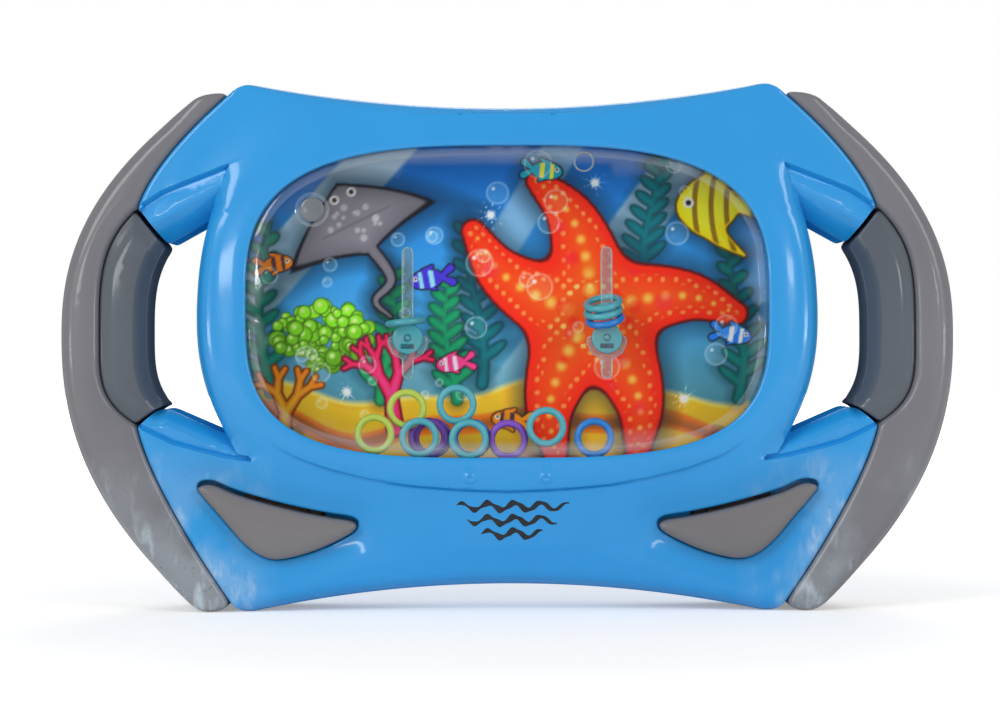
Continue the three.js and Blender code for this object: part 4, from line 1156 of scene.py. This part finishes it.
def stroke(points, radii):
    # Distance to a bent line whose radius changes along it: the least over its straight pieces
    points = np.asarray(points, float)
    radii = np.broadcast_to(radii, len(points))
    least = np.full(artX.shape, 1e3)
    for (ax, az), (bx, bz), ra, rb in zip(points[:-1], points[1:], radii[:-1], radii[1:]):
        length = max((bx - ax) ** 2 + (bz - az) ** 2, 1e-9)
        t = np.clip(((artX - ax) * (bx - ax) + (artZ - az) * (bz - az)) / length, 0, 1)
        least = np.minimum(least, dot(ax + t * (bx - ax), az + t * (bz - az)) - ra - t * (rb - ra))
    return least


def bent(points, count=16):
    # An open Catmull-Rom curve through the given points
    p = np.asarray(points, float)
    p = np.vstack([2 * p[0] - p[1], p, 2 * p[-1] - p[-2]])
    t = np.linspace(0, 1, count, endpoint=False)[:, None]
    return np.vstack([*(catmullRom(*span, t) for span in zip(p[:-3], p[1:-2], p[2:-1], p[3:])), p[-2:-1]])


def merged(first, second, reach):
    # Two distances joined with a fillet of that reach
    h = np.clip(0.5 + 0.5 * (second - first) / reach, 0, 1)
    return second + (first - second) * h - reach * h * (1 - h)


def waterAndSand():
    # Water that pales downwards, slanting beams of light, and sand in wavy yellow and orange bands
    rise = (artZ + 39) / 78
    for low, high, colour in (
            (0, 0.5, (84, 158, 205)), (0.35, 0.85, (52, 128, 190)), (0.7, 1.05, (32, 98, 170))):
        paint(ramp(rise, low, high), colour)
    paint(0.6 * ramp(rise, 0.5, 0.2), (120, 190, 205))
    for x0, slope, width, strength in ((-30, -0.9, 9, 0.75), (14, -0.62, 6, 0.5), (47, -0.75, 8, 0.7)):
        across = artX - x0 + slope * (artZ - 39)
        beam = ramp(width - np.abs(across), 0, 1.6)
        paint(strength * beam * ramp(artZ, -34, 4), (206, 216, 219))
    ground = artZ + 22 - 2.6 * np.sin(artX / 13 + 0.6) - 1.1 * np.sin(artX / 5.1)
    wave = np.sin((ground + 1.6 * np.sin(artX / 8.5)) / 1.75)
    paint(filled(ground, 0.3), (226, 178, 62))
    paint(filled(ground + 1.2, 0.5) * ramp(wave, -0.05, 0.55), (205, 118, 44))
    paint(filled(ground + 6, 1.5) * ramp(wave, 0.6, 0.95) * 0.7, (142, 82, 40))
    paint(0.5 * ramp(np.abs(ground), 1.3, 0.2), (247, 226, 150))


def weed(x, foot, tall, sway, colour, phase):
    # A wavy stem with leaves in pairs, each leaf an oval that leans out
    t = np.linspace(0, 1, 18)
    stem = np.stack([x + sway * np.sin(4.2 * t + phase), foot + tall * t], axis=1)
    shape = stroke(stem, np.linspace(1.3, 0.35, 18))
    for k in range(2, 17):
        side = 1 if k % 2 else -1
        reach = 4.2 * (1 - 0.55 * t[k])
        leaf = oval(stem[k, 0] + side * reach * 0.62, stem[k, 1] + 1.1, reach, 1.15, side * 38)
        shape = np.minimum(shape, leaf)
    layers(shape, (1.2, 1.6, 0.45, (8, 40, 48)), (0.35, 0.2, 0.7, toned(colour, 0.45)), (0, 0.2, 1, colour),
           (-0.55, 0.2, 0.45, toned(colour, 1.35)))


def seaStar(cx, cz, reach, turn):
    # Five bent, tapering arms joined by fillets, with a dark rim, a glow and rows of pale spots
    arms, lines = None, []
    for k in range(5):
        angle, bow = math.radians(turn + 72 * k), 0.34 * (1 if k % 2 else -1)
        way = [(s, angle + bow * s * s) for s in (0, 0.35, 0.7, 1.0)]
        line = bent([(cx + reach * s * math.cos(a), cz + reach * s * math.sin(a)) for s, a in way], 6)
        lines.append(line)
        arm = stroke(line, np.linspace(11.5, 2.6, len(line)))
        arms = arm if arms is None else merged(arms, arm, 5.0)
    layers(arms, (3, 3.2, 0.6, shadow), (0.7, 0.2, 1, (76, 14, 16)), (0, 0.2, 1, (214, 44, 26)),
           (-1.5, 1.4, 1, (228, 62, 28)), (-5.0, 2.6, 0.75, (238, 98, 38)))
    grain = ramp(np.sin(artX * 1.9) * np.sin(artZ * 1.9), 0.25, 0.6)
    for line in lines:
        for s, spot in enumerate(line[3:-1:2]):
            size = 1.9 - 0.2 * s
            layers(dot(*spot), (size, 0.2, 1, (245, 128, 58)), (size * 0.55, 0.2, 1, (252, 170, 92)))
        edge = np.abs(stroke(line, np.linspace(7.4, 1.2, len(line))))
        paint(0.55 * filled(edge - 0.9) * grain * filled(arms + 1), (255, 190, 120))
    for _ in range(34):
        x, z = cx + dice.normal(0, reach * 0.42), cz + dice.normal(0, reach * 0.42)
        spot = filled(dot(x, z) - dice.uniform(0.7, 2.4), 0.5) * filled(arms + 1.2)
        paint(spot * 0.4, [(226, 52, 88), (246, 120, 44), (190, 26, 26)][dice.integers(3)])


def ray(cx, cz, span, turn):
    # A diamond of two wings round an oval body, with a long thin tail, pale spots and a light belly edge
    c, s = math.cos(math.radians(turn)), math.sin(math.radians(turn))
    u, v = turned(artX - cx, artZ - cz, -turn)
    wing = (np.abs(u) / span) ** 0.86 + (np.abs(v + 0.012 * u * u) / (span * 0.52)) ** 1.25 - 1
    tail = bent([(cx + s * span * a + shift, cz - c * span * b)
                 for a, b, shift in ((0.3, 0.3, 0), (0.9, 0.9, 2), (1.3, 1.25, -5), (1.9, 1.5, -6))], 8)
    shape = np.min([wing * span * 0.33, oval(cx, cz, span * 0.3, span * 0.5, turn),
                    stroke(tail, np.linspace(1.3, 0.25, len(tail)))], axis=0)
    layers(shape, (2.4, 2.6, 0.6, shadow), (0.6, 0.2, 1, (26, 26, 34)), (0, 0.2, 1, (112, 110, 118)),
           (-1.6, 1.3, 0.8, (140, 138, 146)))
    paint(filled(np.abs(v + span * 0.05) - 0.35) * filled(shape + 2.5) * 0.4, (92, 90, 100))
    for k in range(16):
        x, z = cx + dice.normal(0, span * 0.27), cz + dice.normal(0, span * 0.16)
        paint(filled(dot(x, z) - dice.uniform(0.4, 0.9)) * filled(shape + 1.5) * 0.7, (196, 196, 200))
    for k in (-1, 1):
        ex, ez = turned(k * span * 0.13, span * 0.36, turn)
        layers(dot(cx + ex, cz + ez), (1.15, 0.2, 1, (245, 245, 240)), (0.6, 0.2, 1, (20, 22, 26)))


def angelFish(cx, cz, size, facing):
    # A tall round body with long fins above and below, dark bands and a fan tail
    s = size
    finShares = ((-0.1, 0.5), (0.5, 1.2), (1.3, 1.75)), ((-0.1, -0.5), (0.5, -1.1), (1.2, -1.6))
    fins = np.min([
        stroke(bent([(cx + facing * a * s, cz + b * s) for a, b in fin]), np.linspace(0.42 * s, 0.04 * s, 33))
        for fin in finShares], axis=0)
    tail = stroke([(cx + facing * 0.8 * s, cz), (cx + facing * 1.55 * s, cz + 0.1 * s)], [0.12 * s, 0.5 * s])
    shape = merged(merged(oval(cx, cz, s, 0.8 * s), fins, 0.3 * s), tail, 0.2 * s)
    layers(shape, (2.2, 2.4, 0.55, shadow), (0.5, 0.2, 1, (70, 52, 12)), (0, 0.2, 1, (232, 200, 42)),
           (-1.6, 1.2, 0.8, (247, 224, 84)))
    for x in (-0.42, 0.12, 0.62):
        band = np.abs(artX - cx - facing * (x * s + 0.12 * (artZ - cz) ** 2 / s)) - 0.085 * s
        paint(filled(band) * filled(shape + 0.3) * 0.85, (104, 84, 30))
    fan = np.abs(np.sin(np.arctan2(artZ - cz, facing * (artX - cx)) * 26)) - 0.25
    paint(filled(fan, 0.3) * filled(fins + 0.2) * 0.35, (176, 138, 24))
    eye = dot(cx - facing * 0.62 * s, cz + 0.12 * s)
    layers(eye, (0.17 * s, 0.2, 1, (250, 250, 244)), (0.09 * s, 0.2, 1, (16, 18, 24)))


def smallFish(cx, cz, size, facing, coat, band, turn=0):
    # An oval with a forked tail, small fins, a dark rim and pale bands
    def spot(u, v):
        # A place in shares of the fish's size, forwards and up
        x, z = turned(facing * u * size, v * size, turn)
        return cx + x, cz + z

    finShares = (((0.85, 0), (1.5, 0.42), 0.1, 0.22), ((0.85, 0), (1.5, -0.42), 0.1, 0.22),
                 ((-0.1, 0.45), (0.45, 0.72), 0.2, 0.07), ((0.05, -0.4), (0.45, -0.68), 0.16, 0.06))
    trunk = oval(cx, cz, size, size * 0.55, turn)
    shape = np.min([trunk, *(stroke([spot(*start), spot(*end)], [first * size, last * size])
                             for start, end, first, last in finShares)], axis=0)
    layers(shape, (0.35, 0.15, 1, (24, 22, 30)), (0, 0.15, 1, coat))
    u = facing * turned(artX - cx, artZ - cz, -turn)[0] / size
    for place, width in ((-0.35, 0.12), (0.3, 0.15)):
        paint(filled((np.abs(u - place) - width) * size, 0.15) * filled(trunk + 0.1, 0.15), band)
    eye = dot(*spot(-0.66, 0.12))
    layers(eye, (0.15 * size, 0.12, 1, (248, 248, 244)), (0.08 * size, 0.12, 1, (12, 14, 20)))


def branchCoral(x, z, tall, lean, width, colour, depth=4):
    # Each branch is a tapering stroke that splits in two until the depth is used up
    tips, shape = [(x, z, lean, tall, width)], np.full(artX.shape, 1e3)
    for _ in range(depth):
        following = []
        for ax, az, angle, length, wide in tips:
            bx, bz = ax + length * math.sin(math.radians(angle)), az + length * math.cos(math.radians(angle))
            shape = np.minimum(shape, stroke([(ax, az), (bx, bz)], [wide, wide * 0.74]))
            following += [(bx, bz, angle + way * dice.uniform(18, 34), length * 0.74, wide * 0.72)
                          for way in (-1, 1)]
        tips = following
    layers(shape, (0.55, 0.2, 1, toned(colour, 0.42)), (0, 0.2, 1, colour),
           (-0.65, 0.2, 0.6, toned(colour, 1.4, 20)))


def bubbleCoral(cx, cz, wide, tall, count, colour):
    # Many small balls in an oval, the upper ones lighter, each with a glint
    for _ in range(count):
        a, r = dice.uniform(0, 6.28), math.sqrt(dice.uniform(0, 1))
        x, z, size = cx + wide * r * math.cos(a), cz + tall * r * math.sin(a), dice.uniform(1.0, 2.1)
        light = 0.72 + 0.4 * (z - cz + tall) / (2 * tall)
        layers(dot(x, z), (size + 0.25, 0.2, 1, toned(colour, 0.4)), (size, 0.2, 1, toned(colour, light)))
        layers(dot(x - 0.35, z + 0.4), (size * 0.35, 0.3, 0.7, (236, 250, 190)))


def bubbles(count):
    # Thin pale rings with a faint inside and a glint at the upper left
    for _ in range(count):
        x, z, size = dice.uniform(-60, 60), dice.uniform(-30, 36), dice.uniform(0.8, 3.4)
        layers(dot(x, z), (size, 0.3, 0.12, (255, 255, 255)))
        layers(np.abs(dot(x, z) - size), (0.16, 0.2, 0.5, (225, 240, 246)))
        layers(dot(x - size * 0.4, z + size * 0.4), (size * 0.16, 0.2, 0.7, (255, 255, 255)))


def sparkle(x, z, size, count=9):
    # Thin rays from one point, fading outwards
    rays = np.abs(np.sin(np.arctan2(artZ - z, artX - x) * count / 2)) * dot(x, z)
    paint(0.85 * filled(rays - 0.16, 0.2) * ramp(dot(x, z), size, size * 0.3), (248, 252, 255))
    paint(ramp(dot(x, z), 1.6, 0.3), (255, 255, 255))


waterAndSand()
for row in ((57, -24, 38, 2.0, (22, 96, 92), 0.3), (-8, -20, 40, 2.2, (20, 88, 96), 0.9),
            (-14, -24, 30, 1.6, (28, 118, 84), 1.9), (-60, -22, 42, 1.8, (24, 104, 88), 2.6),
            (36, 6, 32, 2.0, (20, 92, 100), 4.0), (-30, -24, 34, 1.7, (34, 124, 80), 5.0)):
    weed(*row)
bubbleCoral(-46, -8, 12, 8, 110, (126, 196, 52))
branchCoral(-28, -31, 8, -6, 1.9, (210, 52, 96), 5)
branchCoral(-56, -34, 7, 6, 1.8, (236, 132, 44), 4)
seaStar(21, -3, 36, 20)
ray(-38, 21, 18, 26)
angelFish(50, 24, 7.6, 1)
for row in ((10, 33, 3.8, -1, (40, 150, 172), (246, 214, 70), -6),
            (-20, 6, 4.2, 1, (72, 60, 178), (150, 206, 240), 10),
            (-14, -15, 3.6, 1, (226, 76, 132), (252, 214, 226), 8),
            (57, -8, 3.8, -1, (48, 120, 200), (240, 240, 236), -10),
            (0, -29, 3.8, 1, (240, 138, 40), (66, 52, 60), -6),
            (-57, 10, 3.6, -1, (238, 128, 40), (66, 52, 60), 8)):
    smallFish(*row)
bubbles(34)
for row in ((-4, 22, 6.0), (-52, 35, 4.6), (44, -24, 5), (22, 30, 4.4), (-40, -22, 3.6)):
    sparkle(*row)
# Deeper colours: each is drawn away from its own grey
grey = art.mean(axis=2, keepdims=True)
art = np.clip(grey + card["depth"] * (art - grey), 0, 1)
print("artwork painted")

# The printed face, a wall to the back's rim, and a fan over the back
front = metres(cardX, tank["cardFront"], cardZ).reshape(-1, 3)
rim = border(np.arange(len(front)).reshape(cardX.shape))
backRim = front[rim] + [0, (tank["cardBack"] - tank["cardFront"]) * metre, 0]
middle = metres(0, tank["cardBack"], body["windowMiddle"])[None]
ring = len(front) + np.arange(len(rim))
cardFaces = [gridFaces(*cardX.shape)[:, turnedRound],
             np.stack([rim, ring, np.roll(ring, -1), np.roll(rim, -1)], axis=1),
             np.stack([np.roll(ring, -1), ring, np.full(len(rim), len(front) + len(rim))], axis=1)]
cardMaterial, tree, shader = newMaterial("printedCard")
fill(tree, shader, {"Base Color": add(tree, "VertexColor", layer_name="print")["Color"], "Roughness": 0.6,
                    "Specular IOR Level": 0.2})
cardPiece = putMesh("printedCard", np.vstack([front, backRim, middle]), cardFaces, cardMaterial)
printed = np.ones((len(cardPiece.data.vertices), 4))
# Painted light: the ink gain brightens the print to make up for the shade inside the tank
printed[:len(front), :3] = np.minimum(card["ink"] * linearShare(art), 1).reshape(-1, 3)
cardPiece.data.attributes.new("print", "FLOAT_COLOR", "POINT").data.foreach_set("color", printed.ravel())
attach(cardPiece, "case")
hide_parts("backdrop_card")
print("card made")

# Screws, seen from the back

screw = dict(head=2.35, seat=6.32, height=1.75, domeShare=1.05, domePower=2.6, cross=(1.5, 0.36), depth=0.9)
steel, tree, shader = newMaterial("screwSteel")
place = add(tree, "TexCoord")["Object"]
fill(tree, shader, {"Metallic": 1.0, "Base Color": linear(182, 184, 186),
                    "Normal": bumped(tree, place, 2500, 0.15),
                    "Roughness": pattern(tree, place, "steel", 0.25, 0.45)})


def screwFace(x, z, a, b):
    # A head domed by a power curve, with a recess where either bar of its cross is within reach
    u, v = np.abs(x - a), np.abs(z - b)
    share = np.hypot(u, v) / (screw["head"] * screw["domeShare"])
    dome = screw["seat"] + screw["height"] * np.sqrt(np.maximum(1 - share ** screw["domePower"], 0))
    length, width = screw["cross"]
    cross = np.minimum(np.maximum(u - length, v - width), np.maximum(v - length, u - width))
    return dome - screw["depth"] * ramp(cross, 0.08, -0.12)


for rank, (a, b) in enumerate(screwSpots):
    head = plate(f"screwHead{rank + 1}", circle(a, b, screw["head"], 40), [], flatAt(screw["seat"] - 0.02),
                 lambda x, z: screwFace(x, z, a, b), (0.15, 0.4), 0.26, steel)
    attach(head, "case")
    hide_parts(f"case_screw_{'left' if rank < 4 else 'right'}_{rank % 4 + 1}")
print("screws made")

# Hidden parts of the pumps keep their own meshes and get their finish here
kept = dict(bellows_ring="inner", pump_cup="inner", nozzle="clear")
for side in ("left", "right"):
    for node, finish in kept.items():
        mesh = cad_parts[side + "_" + node].data
        mesh.materials.clear()
        mesh.materials.append(paints[finish])

# The tank's back plate, and the pump domes, each a copy of its part's own mesh


def standIn(name, node, material):
    # A piece of the same shape as the node that it replaces
    piece = bpy.data.objects.new(name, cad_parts[node].data.copy())
    bpy.context.scene.collection.objects.link(piece)
    piece.data.materials.clear()
    piece.data.materials.append(material)
    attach(piece, "case")
    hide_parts(node)
    return piece


tankBack = standIn("tankBack", "tank_back", paints["clear"])
tankBack.visible_shadow = False
for side in ("left", "right"):
    node = side + "_pump_bellows"
    dome = standIn(side + "Bellows", node, paints["rubber"])
    low, high = (np.array(end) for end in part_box(node))
    middle = (low + high) / 2
    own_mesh(dome)
print("pump domes made")

# Stage, light and camera

studio = dict(distance=0.6, sensor=36.0, pixel=0.2474, centre=(-1.78, 62.59), roll=0.17, target=(0, 0, 0.06),
              floor=3.0, glow=(0.12, 0.5, 0.3, 1.0), fillLight=0.47)
# Each lamp: place, size and power
lamps = dict(
    softBoxLeft=((-0.9, -1.0, 0.75), (0.6, 0.8), 7.5), softBoxRight=((0.95, -0.9, 0.65), (0.4, 0.8), 4.2),
    softBoxBack=((0.2, 1.2, 0.8), (0.8, 0.6), 4.5), panelLeft=((-0.36, -1.0, 0.138), (0.18, 0.05), 0.3),
    panelRight=((0.4, -1.0, 0.13), (0.08, 0.045), 0.12), stripLeft=((-0.8, -0.7, 0.05), (0.3, 0.06), 0.5),
    stripRight=((0.8, -0.7, 0.06), (0.3, 0.06), 0.5),
)


def seenDirectly(tree):
    # 1 for what the camera sees, also through clear parts, and 0 for light that falls on the object
    path = add(tree, "LightPath")
    return combined(tree, "MAXIMUM", path["Is Camera Ray"], path["Is Transmission Ray"])


floorMaterial, tree, shader = newMaterial("paleFloor")
reach = add(tree, "VectorMath", {0: add(tree, "TexCoord")["Object"]}, operation="LENGTH")["Value"]
glow = times(tree, spread(tree, reach, *studio["glow"]), seenDirectly(tree))
fill(tree, shader, {"Base Color": linear(250, 250, 250), "Roughness": 0.9, "Emission Color": (1, 1, 1, 1),
                    "Emission Strength": glow})
corners = np.array([[-1, -1, 0], [1, -1, 0], [1, 1, 0], [-1, 1, 0]]) * studio["floor"]
floor = putMesh("floor", corners, np.array([[0, 1, 2, 3]]), floorMaterial)

world = bpy.data.worlds.new("studio")
bpy.context.scene.world = world
world.use_nodes = True
tree = world.node_tree
strength = spread(tree, seenDirectly(tree), 0, 1, studio["fillLight"], 1.0)
fill(tree, tree.nodes["Background"], {"Color": (1, 1, 1, 1), "Strength": strength})


def softBox(name, place, size, power):
    # A rectangular lamp turned towards the object
    lamp = bpy.data.lights.new(name, "AREA")
    lamp.shape = "RECTANGLE"
    lamp.size, lamp.size_y = size
    lamp.energy = power
    holder = bpy.data.objects.new(name, lamp)
    holder.location = place
    holder.rotation_euler = (Vector(studio["target"]) - Vector(place)).to_track_quat("-Z", "Y").to_euler()
    bpy.context.scene.collection.objects.link(holder)


for name, (place, size, power) in lamps.items():
    softBox(name, place, size, power)

cameraData = bpy.data.cameras.new("camera")
cameraData.sensor_width = studio["sensor"]
cameraData.lens = studio["sensor"] * studio["distance"] / studio["pixel"]
camera = bpy.data.objects.new("camera", cameraData)
camera.location = (studio["centre"][0] * metre, -studio["distance"], studio["centre"][1] * metre)
camera.rotation_euler = (math.pi / 2, math.radians(studio["roll"]), 0)
bpy.context.scene.collection.objects.link(camera)
bpy.context.scene.camera = camera
bpy.context.scene.view_settings.view_transform = "Standard"
print("studio set")
